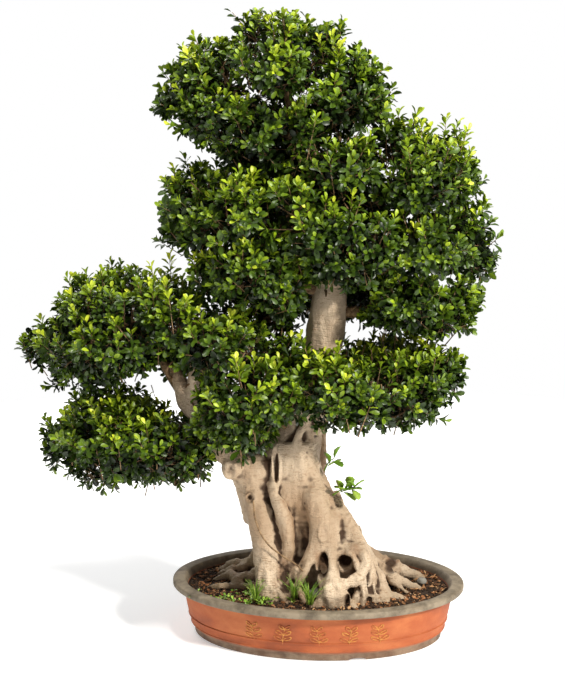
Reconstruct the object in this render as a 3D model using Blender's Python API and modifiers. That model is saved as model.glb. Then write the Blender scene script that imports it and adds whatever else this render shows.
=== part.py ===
"""Bonsai tree in an oval clay pot, in metres, +Z up.

The origin is the middle of the pot's underside, on the surface that it stands on. X runs along the
pot's length and the side with the ornament faces -Y. The tree is one piece of wood, from its roots
in the soil to its branches, and each mass of leaves that it carries is a closed solid round them.
"""

import math
import random

import bmesh
import bpy
from mathutils import Matrix, Vector, noise

# Driving dimensions of the pot.
POT_LENGTH = 0.600
POT_WIDTH = 0.430
POT_HEIGHT = 0.112
RIM_WIDTH = 0.0245
RIM_THICKNESS = 0.010
WALL = 0.013
FOOT_HEIGHT = 0.012
FOOT_WIDTH = 0.018
FOOT_INSET = 0.045
FLOOR_THICKNESS = 0.011
ARCH_WIDTH = 0.034
ARCH_HEIGHT = 0.0045
DRAIN_RADIUS = 0.013
DRAIN_OFFSET = 0.120
CENTRE_PAD_RADIUS = 0.030
POT_SEGMENTS = 40

# What the pot holds.
GAP = 0.0004
LEAF_CLEARANCE = 0.0015
SOIL_DROP = 0.014
SOIL_MOUND = 0.008
MESH_SIDE = 0.045
MESH_THICKNESS = 0.0016

# The tree. Its points below are given for this height above the soil and this pot.
TREE_HEIGHT = 1.150
DRAWN_TREE_HEIGHT = 1.150
DRAWN_POT_LENGTH = 0.600
DRAWN_POT_WIDTH = 0.430
DRAWN_SOIL_LEVEL = 0.098
ROOT_COLLAR = 0.300
WOOD_VOXEL = 0.0075
WOOD_TRIANGLES = 2500
LEAF_VOXEL = 0.014
LEAF_MASS_TRIANGLES = 220
LEAF_MASS_DEPTH = 0.92
LEAF_MASS_FULLNESS = 1.06

SOIL_LEVEL = POT_HEIGHT - SOIL_DROP
FLOOR_TOP = FOOT_HEIGHT + FLOOR_THICKNESS

# Thick strands of wood that have grown together: each point is x, y, z and the strand's radius.
TRUNK_STRANDS = [
    [(-0.025, 0.000, 0.063, 0.070), (-0.033, 0.005, 0.115, 0.078), (-0.038, 0.010, 0.168, 0.076),
     (-0.055, 0.010, 0.220, 0.076), (-0.063, 0.010, 0.273, 0.081), (-0.063, 0.010, 0.325, 0.080),
     (-0.055, 0.010, 0.368, 0.061), (-0.043, 0.010, 0.400, 0.051), (-0.033, 0.010, 0.433, 0.043),
     (-0.023, 0.010, 0.485, 0.041), (-0.013, 0.010, 0.535, 0.039), (0.006, 0.010, 0.578, 0.039),
     (0.015, 0.010, 0.628, 0.040), (0.020, 0.010, 0.680, 0.038), (0.023, 0.015, 0.730, 0.033),
     (0.035, 0.020, 0.788, 0.027), (0.030, 0.020, 0.860, 0.022), (0.000, 0.010, 0.950, 0.018)],
    [(-0.113, -0.030, 0.240, 0.036), (-0.120, -0.030, 0.293, 0.041), (-0.130, -0.025, 0.333, 0.044),
     (-0.158, -0.020, 0.368, 0.038), (-0.188, -0.020, 0.390, 0.028), (-0.218, -0.020, 0.425, 0.022),
     (-0.243, -0.020, 0.455, 0.020), (-0.263, -0.020, 0.480, 0.018)],
    [(-0.158, -0.040, 0.360, 0.028), (-0.170, -0.050, 0.350, 0.022), (-0.175, -0.055, 0.333, 0.013)],
]

# Aerial roots fused to the front of the trunk, and the buttresses that they end in.
FUSED_ROOTS = [
    [(-0.118, -0.055, 0.300, 0.024), (-0.108, -0.065, 0.253, 0.028), (-0.100, -0.075, 0.203, 0.030),
     (-0.095, -0.085, 0.155, 0.030), (-0.090, -0.095, 0.095, 0.027), (-0.093, -0.100, 0.070, 0.022)],
    [(-0.088, -0.070, 0.315, 0.010), (-0.075, -0.078, 0.288, 0.014), (-0.060, -0.075, 0.253, 0.018),
     (-0.055, -0.070, 0.203, 0.018), (-0.060, -0.060, 0.148, 0.018), (-0.055, -0.050, 0.078, 0.018)],
    [(-0.008, -0.055, 0.303, 0.024), (0.005, -0.065, 0.265, 0.026), (0.005, -0.070, 0.215, 0.020),
     (-0.018, -0.075, 0.175, 0.014), (-0.043, -0.080, 0.143, 0.013), (-0.058, -0.080, 0.108, 0.012),
     (-0.063, -0.080, 0.080, 0.011)],
    [(0.025, -0.050, 0.250, 0.026), (0.030, -0.065, 0.210, 0.018), (0.030, -0.080, 0.180, 0.012),
     (0.035, -0.100, 0.153, 0.013), (0.040, -0.118, 0.125, 0.026), (0.038, -0.115, 0.100, 0.027),
     (0.038, -0.105, 0.078, 0.024)],
    [(0.055, -0.055, 0.200, 0.012), (0.083, -0.070, 0.195, 0.010), (0.103, -0.085, 0.178, 0.010),
     (0.095, -0.100, 0.153, 0.011), (0.068, -0.110, 0.140, 0.011), (0.043, -0.118, 0.133, 0.013)],
    [(0.048, -0.030, 0.263, 0.018), (0.073, -0.040, 0.220, 0.019), (0.098, -0.055, 0.188, 0.015),
     (0.110, -0.065, 0.153, 0.013), (0.118, -0.065, 0.110, 0.012), (0.123, -0.073, 0.080, 0.011)],
    [(0.103, -0.085, 0.180, 0.009), (0.092, -0.080, 0.130, 0.011), (0.085, -0.105, 0.105, 0.011),
     (0.076, -0.110, 0.078, 0.010)],
    [(0.096, -0.098, 0.148, 0.010), (0.105, -0.095, 0.112, 0.010), (0.110, -0.105, 0.080, 0.009)],
]

# Roots that run out over the soil and down into it.
SURFACE_ROOTS = [
    [(-0.005, 0.010, 0.293, 0.027), (0.025, 0.015, 0.230, 0.029), (0.048, 0.020, 0.198, 0.029),
     (0.073, 0.030, 0.163, 0.029), (0.108, 0.035, 0.138, 0.027), (0.140, 0.028, 0.128, 0.022),
     (0.172, 0.045, 0.117, 0.015), (0.202, 0.058, 0.103, 0.011), (0.226, 0.066, 0.082, 0.010)],
    [(0.110, 0.025, 0.145, 0.020), (0.140, 0.005, 0.120, 0.014), (0.170, 0.010, 0.105, 0.012),
     (0.180, -0.010, 0.080, 0.011)],
    [(0.105, -0.020, 0.160, 0.020), (0.125, -0.028, 0.120, 0.015), (0.143, -0.060, 0.104, 0.011),
     (0.175, -0.070, 0.096, 0.010), (0.205, -0.060, 0.080, 0.010)],
    [(0.120, -0.040, 0.118, 0.014), (0.140, -0.085, 0.098, 0.012), (0.155, -0.095, 0.078, 0.010)],
    [(-0.040, 0.050, 0.160, 0.044), (-0.010, 0.090, 0.135, 0.030), (0.020, 0.125, 0.105, 0.018),
     (0.045, 0.140, 0.078, 0.014)],
    [(-0.085, 0.030, 0.170, 0.040), (-0.110, 0.060, 0.130, 0.026), (-0.125, 0.105, 0.100, 0.015),
     (-0.120, 0.135, 0.078, 0.012)],
    [(-0.100, 0.010, 0.165, 0.030), (-0.145, 0.050, 0.122, 0.018), (-0.198, 0.066, 0.102, 0.013),
     (-0.222, 0.068, 0.078, 0.010)],
    [(-0.100, -0.010, 0.118, 0.018), (-0.148, -0.005, 0.108, 0.016), (-0.175, 0.005, 0.100, 0.014),
     (-0.213, 0.020, 0.078, 0.010)],
    [(-0.100, -0.070, 0.108, 0.014), (-0.160, -0.045, 0.100, 0.012), (-0.205, -0.030, 0.097, 0.011),
     (-0.240, -0.020, 0.078, 0.010)],
]

# Branches, drawn as they leave the trunk and run into the leaves.
BRANCHES = {
    "leader": [(0.005, 0.012, 0.930, 0.016), (-0.030, 0.010, 1.010, 0.014), (-0.055, 0.010, 1.070, 0.011),
               (-0.080, 0.010, 1.130, 0.007)],
    "crown_left": [(-0.025, 0.010, 1.000, 0.010), (-0.110, 0.005, 1.035, 0.009), (-0.190, 0.000, 1.080, 0.006)],
    "crown_right": [(-0.015, 0.010, 0.980, 0.010), (0.020, 0.005, 1.040, 0.008), (0.050, 0.000, 1.095, 0.006)],
    "right_high": [(0.020, 0.015, 0.735, 0.020), (0.080, 0.008, 0.775, 0.017), (0.130, 0.000, 0.825, 0.013),
                   (0.180, -0.005, 0.880, 0.010), (0.215, 0.000, 0.925, 0.007)],
    "right_middle": [(0.120, 0.000, 0.812, 0.011), (0.190, 0.010, 0.800, 0.009), (0.260, 0.000, 0.795, 0.006)],
    "right_low": [(0.015, 0.010, 0.665, 0.014), (0.090, 0.020, 0.665, 0.012), (0.170, 0.010, 0.680, 0.009),
                  (0.235, 0.000, 0.688, 0.006)],
    "skirt": [(0.000, 0.010, 0.560, 0.014), (0.080, -0.010, 0.530, 0.011), (0.170, -0.010, 0.522, 0.007)],
    "inner_left": [(0.015, 0.010, 0.700, 0.013), (-0.060, -0.020, 0.730, 0.010), (-0.130, -0.035, 0.755, 0.006)],
    "middle_left": [(0.030, 0.018, 0.800, 0.013), (-0.060, 0.000, 0.835, 0.011), (-0.150, -0.020, 0.855, 0.008),
                    (-0.225, -0.005, 0.865, 0.006)],
    "front": [(0.035, 0.015, 0.775, 0.012), (0.040, -0.040, 0.800, 0.010), (0.050, -0.095, 0.825, 0.006)],
    "upper": [(0.022, 0.018, 0.875, 0.010), (0.070, -0.020, 0.925, 0.006)],
    "back_high": [(0.032, 0.020, 0.820, 0.012), (0.000, 0.090, 0.850, 0.009), (-0.030, 0.150, 0.880, 0.006)],
    "back_low": [(0.012, 0.010, 0.645, 0.013), (0.000, 0.080, 0.680, 0.010), (-0.030, 0.145, 0.710, 0.006)],
    "far_left": [(-0.255, -0.020, 0.470, 0.014), (-0.290, -0.010, 0.520, 0.012), (-0.330, 0.000, 0.575, 0.010),
                 (-0.400, 0.000, 0.625, 0.008), (-0.490, 0.000, 0.600, 0.005)],
    "shelf": [(-0.257, -0.020, 0.470, 0.014), (-0.248, -0.020, 0.520, 0.012), (-0.240, -0.020, 0.570, 0.010),
              (-0.195, -0.030, 0.625, 0.006)],
    "low_left": [(-0.230, -0.020, 0.440, 0.011), (-0.290, 0.000, 0.420, 0.010), (-0.360, 0.000, 0.400, 0.008),
                 (-0.430, 0.000, 0.395, 0.005)],
    "low_centre": [(-0.040, 0.005, 0.420, 0.012), (-0.100, -0.030, 0.455, 0.009), (-0.165, -0.045, 0.490, 0.006)],
}

# Masses of leaves: each ball is x, y, z, its half width and its half height.
LEAF_MASSES = {
    "leaves_crown_top": [(-0.085, 0.000, 1.170, 0.080, 0.065), (-0.130, 0.000, 1.205, 0.040, 0.042),
                         (0.005, 0.000, 1.185, 0.050, 0.045),
                         (-0.030, 0.030, 1.175, 0.065, 0.055), (-0.090, -0.060, 1.130, 0.070, 0.055),
                         (-0.075, 0.070, 1.120, 0.085, 0.070)],
    "leaves_crown_left": [(-0.225, 0.000, 1.110, 0.075, 0.065), (-0.275, 0.000, 1.075, 0.045, 0.045),
                          (-0.200, -0.050, 1.055, 0.065, 0.060), (-0.230, 0.030, 1.025, 0.045, 0.035),
                          (-0.190, 0.050, 1.130, 0.070, 0.060)],
    "leaves_crown_right": [(0.040, 0.000, 1.125, 0.070, 0.065), (0.090, 0.000, 1.095, 0.045, 0.055),
                           (0.035, -0.050, 1.065, 0.065, 0.055), (0.045, 0.060, 1.065, 0.070, 0.060),
                           (0.095, 0.000, 1.045, 0.045, 0.040)],
    "leaves_crown_centre": [(-0.110, -0.040, 1.025, 0.085, 0.075), (-0.035, -0.050, 1.025, 0.075, 0.060),
                            (-0.125, 0.000, 0.965, 0.070, 0.030), (-0.065, 0.070, 1.045, 0.095, 0.070)],
    "leaves_right_high": [(0.215, 0.000, 0.940, 0.075, 0.070), (0.265, 0.000, 0.930, 0.045, 0.055),
                          (0.150, -0.020, 0.980, 0.065, 0.060), (0.205, -0.070, 0.915, 0.070, 0.065),
                          (0.195, 0.080, 0.925, 0.075, 0.070)],
    "leaves_right_middle": [(0.265, 0.000, 0.810, 0.070, 0.080), (0.315, 0.000, 0.785, 0.040, 0.055),
                            (0.210, -0.060, 0.800, 0.075, 0.070), (0.240, 0.080, 0.795, 0.075, 0.075)],
    "leaves_right_low": [(0.240, 0.000, 0.685, 0.065, 0.060), (0.180, -0.050, 0.700, 0.065, 0.060),
                         (0.270, 0.030, 0.690, 0.045, 0.050), (0.200, 0.070, 0.675, 0.070, 0.055),
                         (0.135, -0.020, 0.660, 0.040, 0.030), (0.240, -0.020, 0.645, 0.050, 0.032)],
    "leaves_centre_high": [(0.045, -0.060, 0.940, 0.085, 0.060), (0.100, -0.020, 0.910, 0.070, 0.065),
                           (0.000, 0.000, 0.950, 0.070, 0.050), (0.055, 0.070, 0.945, 0.090, 0.070)],
    "leaves_centre_front": [(0.030, -0.100, 0.830, 0.085, 0.070), (0.105, -0.080, 0.810, 0.065, 0.065),
                            (-0.030, -0.090, 0.875, 0.070, 0.055), (0.055, -0.100, 0.765, 0.065, 0.045)],
    "leaves_left_middle": [(-0.235, 0.000, 0.880, 0.070, 0.070), (-0.270, 0.000, 0.840, 0.050, 0.055),
                           (-0.200, -0.050, 0.835, 0.065, 0.065), (-0.130, -0.080, 0.855, 0.075, 0.070),
                           (-0.215, 0.070, 0.850, 0.075, 0.070)],
    "leaves_left_inner": [(-0.120, -0.080, 0.760, 0.080, 0.060), (-0.185, -0.040, 0.735, 0.070, 0.055),
                          (-0.070, -0.090, 0.710, 0.045, 0.040), (-0.165, 0.060, 0.750, 0.085, 0.070),
                          (-0.095, 0.030, 0.660, 0.055, 0.060)],
    "leaves_back_high": [(-0.050, 0.150, 0.880, 0.100, 0.080), (0.055, 0.150, 0.815, 0.090, 0.080),
                         (-0.140, 0.130, 0.900, 0.085, 0.070)],
    "leaves_back_low": [(-0.050, 0.150, 0.710, 0.090, 0.065), (0.055, 0.140, 0.695, 0.085, 0.065),
                        (-0.135, 0.140, 0.720, 0.080, 0.065)],
    "leaves_far_left": [(-0.405, 0.000, 0.655, 0.120, 0.075), (-0.510, 0.000, 0.590, 0.075, 0.060),
                        (-0.570, 0.000, 0.575, 0.045, 0.030), (-0.295, -0.040, 0.650, 0.090, 0.075),
                        (-0.415, -0.050, 0.590, 0.105, 0.050), (-0.440, 0.080, 0.590, 0.115, 0.065),
                        (-0.475, 0.000, 0.535, 0.065, 0.040)],
    "leaves_left_shelf": [(-0.200, -0.080, 0.610, 0.080, 0.055), (-0.140, -0.090, 0.610, 0.045, 0.040),
                          (-0.270, 0.060, 0.575, 0.075, 0.055), (-0.185, -0.020, 0.645, 0.068, 0.052)],
    "leaves_low_left": [(-0.410, 0.000, 0.395, 0.130, 0.070), (-0.505, 0.000, 0.380, 0.070, 0.040),
                        (-0.320, -0.040, 0.395, 0.095, 0.065), (-0.445, 0.030, 0.440, 0.085, 0.050),
                        (-0.360, 0.080, 0.345, 0.110, 0.055), (-0.265, 0.000, 0.355, 0.055, 0.045),
                        (-0.410, -0.020, 0.355, 0.085, 0.050)],
    "leaves_low_centre": [(-0.140, -0.090, 0.505, 0.090, 0.070), (-0.205, -0.050, 0.450, 0.070, 0.055),
                          (-0.070, -0.090, 0.515, 0.060, 0.065), (-0.175, 0.050, 0.525, 0.090, 0.065),
                          (-0.145, 0.060, 0.420, 0.070, 0.050), (-0.095, 0.000, 0.560, 0.062, 0.062),
                          (-0.160, -0.060, 0.425, 0.070, 0.038)],
    "leaves_skirt": [(0.165, 0.000, 0.520, 0.105, 0.065), (0.245, 0.000, 0.540, 0.050, 0.050),
                     (0.070, -0.090, 0.515, 0.095, 0.065), (0.145, -0.050, 0.490, 0.085, 0.045),
                     (0.130, 0.080, 0.525, 0.105, 0.065), (-0.010, -0.100, 0.545, 0.045, 0.050)],
}

# Small plants and stones on and beside the trunk: x, y, z of each one's foot.
SPROUTS = {
    "sprout_upper": ((0.014, -0.020, 0.345), (0.035, -0.035, 0.375), 3),
    "sprout_lower": ((0.032, -0.040, 0.300), (0.080, -0.050, 0.318), 6),
}
GRASS_TUFTS = {"grass_left": (-0.115, -0.128), "grass_middle": (-0.040, -0.115), "grass_right": (-0.005, -0.140)}
STONES = {"stone_in_hollow": (0.004, -0.093, 0.016), "stone_by_root": (0.215, 0.010, 0.011)}


def clear_scene():
    """Empties the scene, and leaves one collection for the model."""
    for obj in list(bpy.data.objects):
        bpy.data.objects.remove(obj, do_unlink=True)
    model = bpy.data.collections.new("bonsai_tree")
    bpy.context.scene.collection.children.link(model)
    return model


def material(name, colour, roughness):
    """A plain material of one colour."""
    made = bpy.data.materials.new(name)
    made.use_nodes = True
    shader = made.node_tree.nodes["Principled BSDF"]
    shader.inputs["Base Color"].default_value = (*colour, 1.0)
    shader.inputs["Roughness"].default_value = roughness
    return made


def add(name, mesh, model, finish):
    """Links a mesh as a named piece of the model."""
    obj = bpy.data.objects.new(name, mesh)
    model.objects.link(obj)
    mesh.materials.clear()
    mesh.materials.append(finish)
    return obj


def evaluated_mesh(obj, welded=0.0):
    """The mesh that an object shows with its modifiers, and the object is removed."""
    bpy.context.view_layer.update()
    graph = bpy.context.evaluated_depsgraph_get()
    mesh = bpy.data.meshes.new_from_object(obj.evaluated_get(graph))
    mesh.transform(obj.matrix_world)
    bpy.data.objects.remove(obj, do_unlink=True)
    if welded:
        edit = bmesh.new()
        edit.from_mesh(mesh)
        bmesh.ops.remove_doubles(edit, verts=edit.verts, dist=welded)
        bmesh.ops.recalc_face_normals(edit, faces=edit.faces)
        edit.to_mesh(mesh)
        edit.free()
    return mesh


def temporary(mesh):
    """A throw-away object that carries modifiers for a mesh."""
    obj = bpy.data.objects.new("working_piece", mesh)
    bpy.context.scene.collection.objects.link(obj)
    return obj


def boolean(mesh, cutters, operation="DIFFERENCE"):
    """A mesh less, or joined with, each of the cutter meshes."""
    for cutter_mesh in cutters:
        obj = temporary(mesh)
        cutter = temporary(cutter_mesh.copy())
        cut = obj.modifiers.new(operation.lower(), "BOOLEAN")
        cut.operation = operation
        cut.solver = "EXACT"
        cut.use_self = True
        cut.object = cutter
        mesh = evaluated_mesh(obj)
        bpy.data.objects.remove(cutter, do_unlink=True)
    return mesh


def swollen(mesh, distance):
    """A copy of a mesh, grown outwards by a clearance."""
    obj = temporary(mesh.copy())
    grow = obj.modifiers.new("grow", "DISPLACE")
    grow.strength = distance
    grow.mid_level = 0.0
    return evaluated_mesh(obj)


def largest_island(mesh):
    """Keeps the largest connected body of a mesh and drops the rest."""
    edit = bmesh.new()
    edit.from_mesh(mesh)
    left = set(edit.faces)
    islands = []
    while left:
        island, front = set(), [next(iter(left))]
        while front:
            face = front.pop()
            if face in left:
                left.remove(face)
                island.add(face)
                front.extend(other for edge in face.edges for other in edge.link_faces if other in left)
        islands.append(island)
    keep = max(islands, key=lambda faces: sum(face.calc_area() for face in faces))
    bmesh.ops.delete(edit, geom=[face for face in edit.faces if face not in keep], context="FACES")
    bmesh.ops.triangulate(edit, faces=edit.faces)
    edit.to_mesh(mesh)
    edit.free()
    return mesh


def joined(meshes):
    """One mesh that holds all of the given ones."""
    edit = bmesh.new()
    for mesh in meshes:
        edit.from_mesh(mesh)
    whole = bpy.data.meshes.new("joined")
    edit.to_mesh(whole)
    edit.free()
    return whole


def fused(meshes, voxel, triangles, smoothing):
    """Overlapping closed meshes grown into one smooth skin of about the given number of triangles."""
    obj = temporary(joined(meshes))
    skin = obj.modifiers.new("skin", "REMESH")
    skin.mode = "VOXEL"
    skin.voxel_size = voxel
    soften = obj.modifiers.new("soften", "SMOOTH")
    soften.iterations = smoothing
    mesh = evaluated_mesh(obj)
    obj = temporary(mesh)
    fewer = obj.modifiers.new("fewer", "DECIMATE")
    fewer.ratio = min(1.0, triangles / max(1, 2 * len(mesh.polygons)))
    fewer.use_collapse_triangulate = True
    return largest_island(evaluated_mesh(obj))


def grown(point):
    """A drawn point moved for the tree's own height, with its roots spread to suit the pot."""
    x, y, z = point
    rise = TREE_HEIGHT / DRAWN_TREE_HEIGHT
    up = min(1.0, max(0.0, (z - DRAWN_SOIL_LEVEL) / (ROOT_COLLAR - DRAWN_SOIL_LEVEL)))
    along = POT_LENGTH / DRAWN_POT_LENGTH * (1 - up) + rise * up
    across = POT_WIDTH / DRAWN_POT_WIDTH * (1 - up) + rise * up
    height = z - DRAWN_SOIL_LEVEL
    return Vector((x * along, y * across, SOIL_LEVEL + height * (rise if height > 0 else 1.0)))


def strand(points, sides=3, steps=4):
    """A round strand through points, with a radius of its own at each."""
    curve = bpy.data.curves.new("strand", "CURVE")
    curve.dimensions = "3D"
    curve.bevel_depth = 1.0
    curve.bevel_resolution = sides
    curve.use_fill_caps = True
    spline = curve.splines.new("BEZIER")
    spline.resolution_u = steps
    spline.bezier_points.add(len(points) - 1)
    for knot, (x, y, z, radius) in zip(spline.bezier_points, points):
        knot.co = grown((x, y, z))
        knot.radius = radius
        knot.handle_left_type = knot.handle_right_type = "AUTO"
    obj = bpy.data.objects.new("strand", curve)
    bpy.context.scene.collection.objects.link(obj)
    return evaluated_mesh(obj, welded=0.00005)


def rings_mesh(name, rings, segments):
    """A closed skin over oval rings of (half length, half width, height) that ends in flat caps."""
    edit = bmesh.new()
    loops = []
    for half_length, half_width, height in rings:
        turn = [math.tau * step / segments for step in range(segments)]
        loops.append([edit.verts.new((half_length * math.cos(a), half_width * math.sin(a), height)) for a in turn])
    for lower, upper in zip(loops, loops[1:]):
        for step in range(segments):
            after = (step + 1) % segments
            edit.faces.new((lower[step], lower[after], upper[after], upper[step]))
    edit.faces.new(list(reversed(loops[0])))
    edit.faces.new(loops[-1])
    bmesh.ops.recalc_face_normals(edit, faces=edit.faces)
    mesh = bpy.data.meshes.new(name)
    edit.to_mesh(mesh)
    edit.free()
    return mesh


def oval(inset, height):
    """An oval ring that stands in from the rim's outer edge by an inset."""
    return POT_LENGTH / 2 - inset, POT_WIDTH / 2 - inset, height


def pot_inner_profile():
    """The pot's inner wall from its rim down to its floor, as (inset, height)."""
    mouth = RIM_WIDTH
    depth = POT_HEIGHT - FLOOR_TOP
    wall_foot = FOOT_INSET + WALL
    return [(mouth, POT_HEIGHT), (mouth + 0.003, POT_HEIGHT - 0.003),
            (mouth + 0.006, POT_HEIGHT - 0.010), (mouth + 0.009, POT_HEIGHT - depth * 0.45),
            (mouth + 0.016, POT_HEIGHT - depth * 0.75), (wall_foot - 0.008, FLOOR_TOP + depth * 0.08),
            (wall_foot + 0.004, FLOOR_TOP)]


def pot_outer_profile():
    """The pot's outside from its foot up to the rim, as (inset, height)."""
    under_rim = POT_HEIGHT - RIM_THICKNESS - 0.002
    body = under_rim - FOOT_HEIGHT
    return [(FOOT_INSET + 0.001, 0.0), (FOOT_INSET - 0.001, FOOT_HEIGHT - 0.001),
            (FOOT_INSET - 0.004, FOOT_HEIGHT + 0.004), (FOOT_INSET - 0.007, FOOT_HEIGHT + 0.008),
            (FOOT_INSET - 0.010, FOOT_HEIGHT + body * 0.25), (FOOT_INSET - 0.015, FOOT_HEIGHT + body * 0.45),
            (FOOT_INSET - 0.019, FOOT_HEIGHT + body * 0.70), (FOOT_INSET - 0.022, under_rim),
            (0.003, under_rim), (0.0, under_rim + 0.002), (0.0, POT_HEIGHT - 0.005), (0.002, POT_HEIGHT - 0.003)]


def cylinder(radius, low, high, x=0.0, y=0.0, segments=20):
    """An upright cylinder between two heights."""
    edit = bmesh.new()
    bmesh.ops.create_cone(edit, cap_ends=True, segments=segments, radius1=radius, radius2=radius, depth=high - low)
    bmesh.ops.translate(edit, verts=edit.verts, vec=(x, y, (low + high) / 2))
    mesh = bpy.data.meshes.new("cylinder")
    edit.to_mesh(mesh)
    edit.free()
    return mesh


def box(size, centre, turn=0.0):
    """A box of the given size, turned about Z."""
    edit = bmesh.new()
    bmesh.ops.create_cube(edit, size=1.0)
    bmesh.ops.scale(edit, verts=edit.verts, vec=size)
    bmesh.ops.rotate(edit, verts=edit.verts, matrix=Matrix.Rotation(turn, 3, "Z"))
    bmesh.ops.translate(edit, verts=edit.verts, vec=centre)
    mesh = bpy.data.meshes.new("box")
    edit.to_mesh(mesh)
    edit.free()
    return mesh


def make_pot():
    """The oval pot: a foot ring with four low arches, a centre pad, two drain holes and a wide rim."""
    foot_inner = FOOT_INSET + FOOT_WIDTH
    underside = [oval(foot_inner + 0.002, FOOT_HEIGHT), oval(foot_inner, 0.0)]
    outside = [oval(inset, height) for inset, height in pot_outer_profile()]
    inside = [oval(inset, height) for inset, height in pot_inner_profile()]
    shell = rings_mesh("pot", underside + outside + inside, POT_SEGMENTS)
    centre_pad = cylinder(CENTRE_PAD_RADIUS, 0.0, FOOT_HEIGHT + FLOOR_THICKNESS / 2)
    shell = boolean(shell, [centre_pad], "UNION")
    cutters = []
    for side in (-1, 1):
        cutters.append(cylinder(DRAIN_RADIUS, 0.0, FLOOR_TOP + 0.005, x=side * DRAIN_OFFSET))
        for end in (-1, 1):
            spread = math.radians(52.0)
            half_length, half_width, _ = oval(FOOT_INSET + FOOT_WIDTH / 2, 0.0)
            centre = (end * half_length * math.cos(spread), side * half_width * math.sin(spread), 0.0)
            outward = math.atan2(centre[1] / half_width**2, centre[0] / half_length**2)
            cutters.append(box((2 * FOOT_WIDTH, ARCH_WIDTH, 2 * ARCH_HEIGHT), centre, outward))
    return boolean(shell, cutters)


def make_drain_mesh(x):
    """A square plastic mesh that covers a drain hole, with its openings in a regular grid."""
    cells = 7
    edit = bmesh.new()
    bmesh.ops.create_grid(edit, x_segments=cells, y_segments=cells, size=MESH_SIDE / 2)
    pitch = MESH_SIDE / cells
    holes = []
    for face in edit.faces:
        middle = face.calc_center_median()
        column = round((middle.x + MESH_SIDE / 2) / pitch - 0.5)
        row = round((middle.y + MESH_SIDE / 2) / pitch - 0.5)
        if column % 2 and row % 2:
            holes.append(face)
    bmesh.ops.delete(edit, geom=holes, context="FACES")
    bmesh.ops.translate(edit, verts=edit.verts, vec=(x, 0.0, FLOOR_TOP + GAP))
    mesh = bpy.data.meshes.new("drain_mesh")
    edit.to_mesh(mesh)
    edit.free()
    obj = temporary(mesh)
    sheet = obj.modifiers.new("sheet", "SOLIDIFY")
    sheet.thickness = MESH_THICKNESS
    sheet.offset = 1.0
    return evaluated_mesh(obj)


def make_soil(others):
    """The soil: it fills the pot to just below the rim and rises a little towards the trunk."""
    profile = [(inset, height) for inset, height in pot_inner_profile() if height < SOIL_LEVEL]
    above = [(inset, height) for inset, height in pot_inner_profile() if height >= SOIL_LEVEL][-1]
    share = (above[1] - SOIL_LEVEL) / (above[1] - profile[0][1])
    edge = above[0] + share * (profile[0][0] - above[0])
    rings = [oval(inset + GAP, height + GAP) for inset, height in reversed(profile)]
    rings.append(oval(edge + GAP, SOIL_LEVEL))
    half_length, half_width, _ = oval(edge + GAP, SOIL_LEVEL)
    for share in (0.82, 0.60, 0.36, 0.14):
        rings.append((half_length * share, half_width * share, SOIL_LEVEL + SOIL_MOUND * (1 - share**2)))
    mesh = rings_mesh("soil", rings, POT_SEGMENTS)
    for vertex in mesh.vertices:
        if vertex.co.z > SOIL_LEVEL + SOIL_MOUND * 0.1:
            vertex.co.z += 0.002 * noise.noise(vertex.co * 22.0)
    mesh_cutters = [box((MESH_SIDE + 2 * GAP, MESH_SIDE + 2 * GAP, 2 * (MESH_THICKNESS + 2 * GAP)),
                        (side * DRAIN_OFFSET, 0.0, FLOOR_TOP)) for side in (-1, 1)]
    return largest_island(boolean(mesh, mesh_cutters + others))


def make_wood():
    """The tree's wood, and the simple bodies that it is joined from: the trunk with its roots, and each branch."""
    strands = [strand(points) for points in TRUNK_STRANDS + FUSED_ROOTS + SURFACE_ROOTS]
    trunk = fused(strands, WOOD_VOXEL, WOOD_TRIANGLES, 3)
    branches = [strand(points, sides=1, steps=2) for points in BRANCHES.values()]
    bodies = [trunk.copy()] + [branch.copy() for branch in branches]
    return largest_island(boolean(trunk, branches, "UNION")), bodies


def span(mesh):
    """The lowest and the highest corner of a mesh."""
    corners = [vertex.co for vertex in mesh.vertices]
    return [[pick(corner[axis] for corner in corners) for axis in range(3)] for pick in (min, max)]


def boxes_meet(first, second):
    """Whether the boxes round two meshes overlap."""
    (low_a, high_a), (low_b, high_b) = span(first), span(second)
    return all(low_a[axis] < high_b[axis] and low_b[axis] < high_a[axis] for axis in range(3))


def make_leaf_mass(balls, neighbours):
    """One mass of leaves, clear of the wood and of the masses beside it, and the same mass before it is cut."""
    meshes = []
    rise = TREE_HEIGHT / DRAWN_TREE_HEIGHT
    for x, y, z, half_width, half_height in balls:
        edit = bmesh.new()
        bmesh.ops.create_icosphere(edit, subdivisions=3, radius=1.0)
        size = Vector((half_width, half_width * LEAF_MASS_DEPTH, half_height)) * rise * LEAF_MASS_FULLNESS
        bmesh.ops.scale(edit, verts=edit.verts, vec=size)
        bmesh.ops.translate(edit, verts=edit.verts, vec=grown((x, y, z)))
        mesh = bpy.data.meshes.new("ball")
        edit.to_mesh(mesh)
        edit.free()
        meshes.append(mesh)
    whole = fused(meshes, LEAF_VOXEL * rise, LEAF_MASS_TRIANGLES, 3)
    near = [other for other in neighbours if boxes_meet(whole, other)]
    near = [swollen(other, LEAF_CLEARANCE) for other in near]
    return largest_island(boolean(whole.copy(), near)), whole


def leaf(root, tip, width, thickness):
    """A leaf as a thin lens between its root and its tip."""
    along = tip - root
    edit = bmesh.new()
    bmesh.ops.create_icosphere(edit, subdivisions=1, radius=0.5)
    bmesh.ops.scale(edit, verts=edit.verts, vec=(width, thickness, along.length))
    turn = along.to_track_quat("Z", "Y").to_matrix()
    bmesh.ops.rotate(edit, verts=edit.verts, matrix=turn)
    bmesh.ops.translate(edit, verts=edit.verts, vec=(root + tip) / 2)
    mesh = bpy.data.meshes.new("leaf")
    edit.to_mesh(mesh)
    edit.free()
    return mesh


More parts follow.
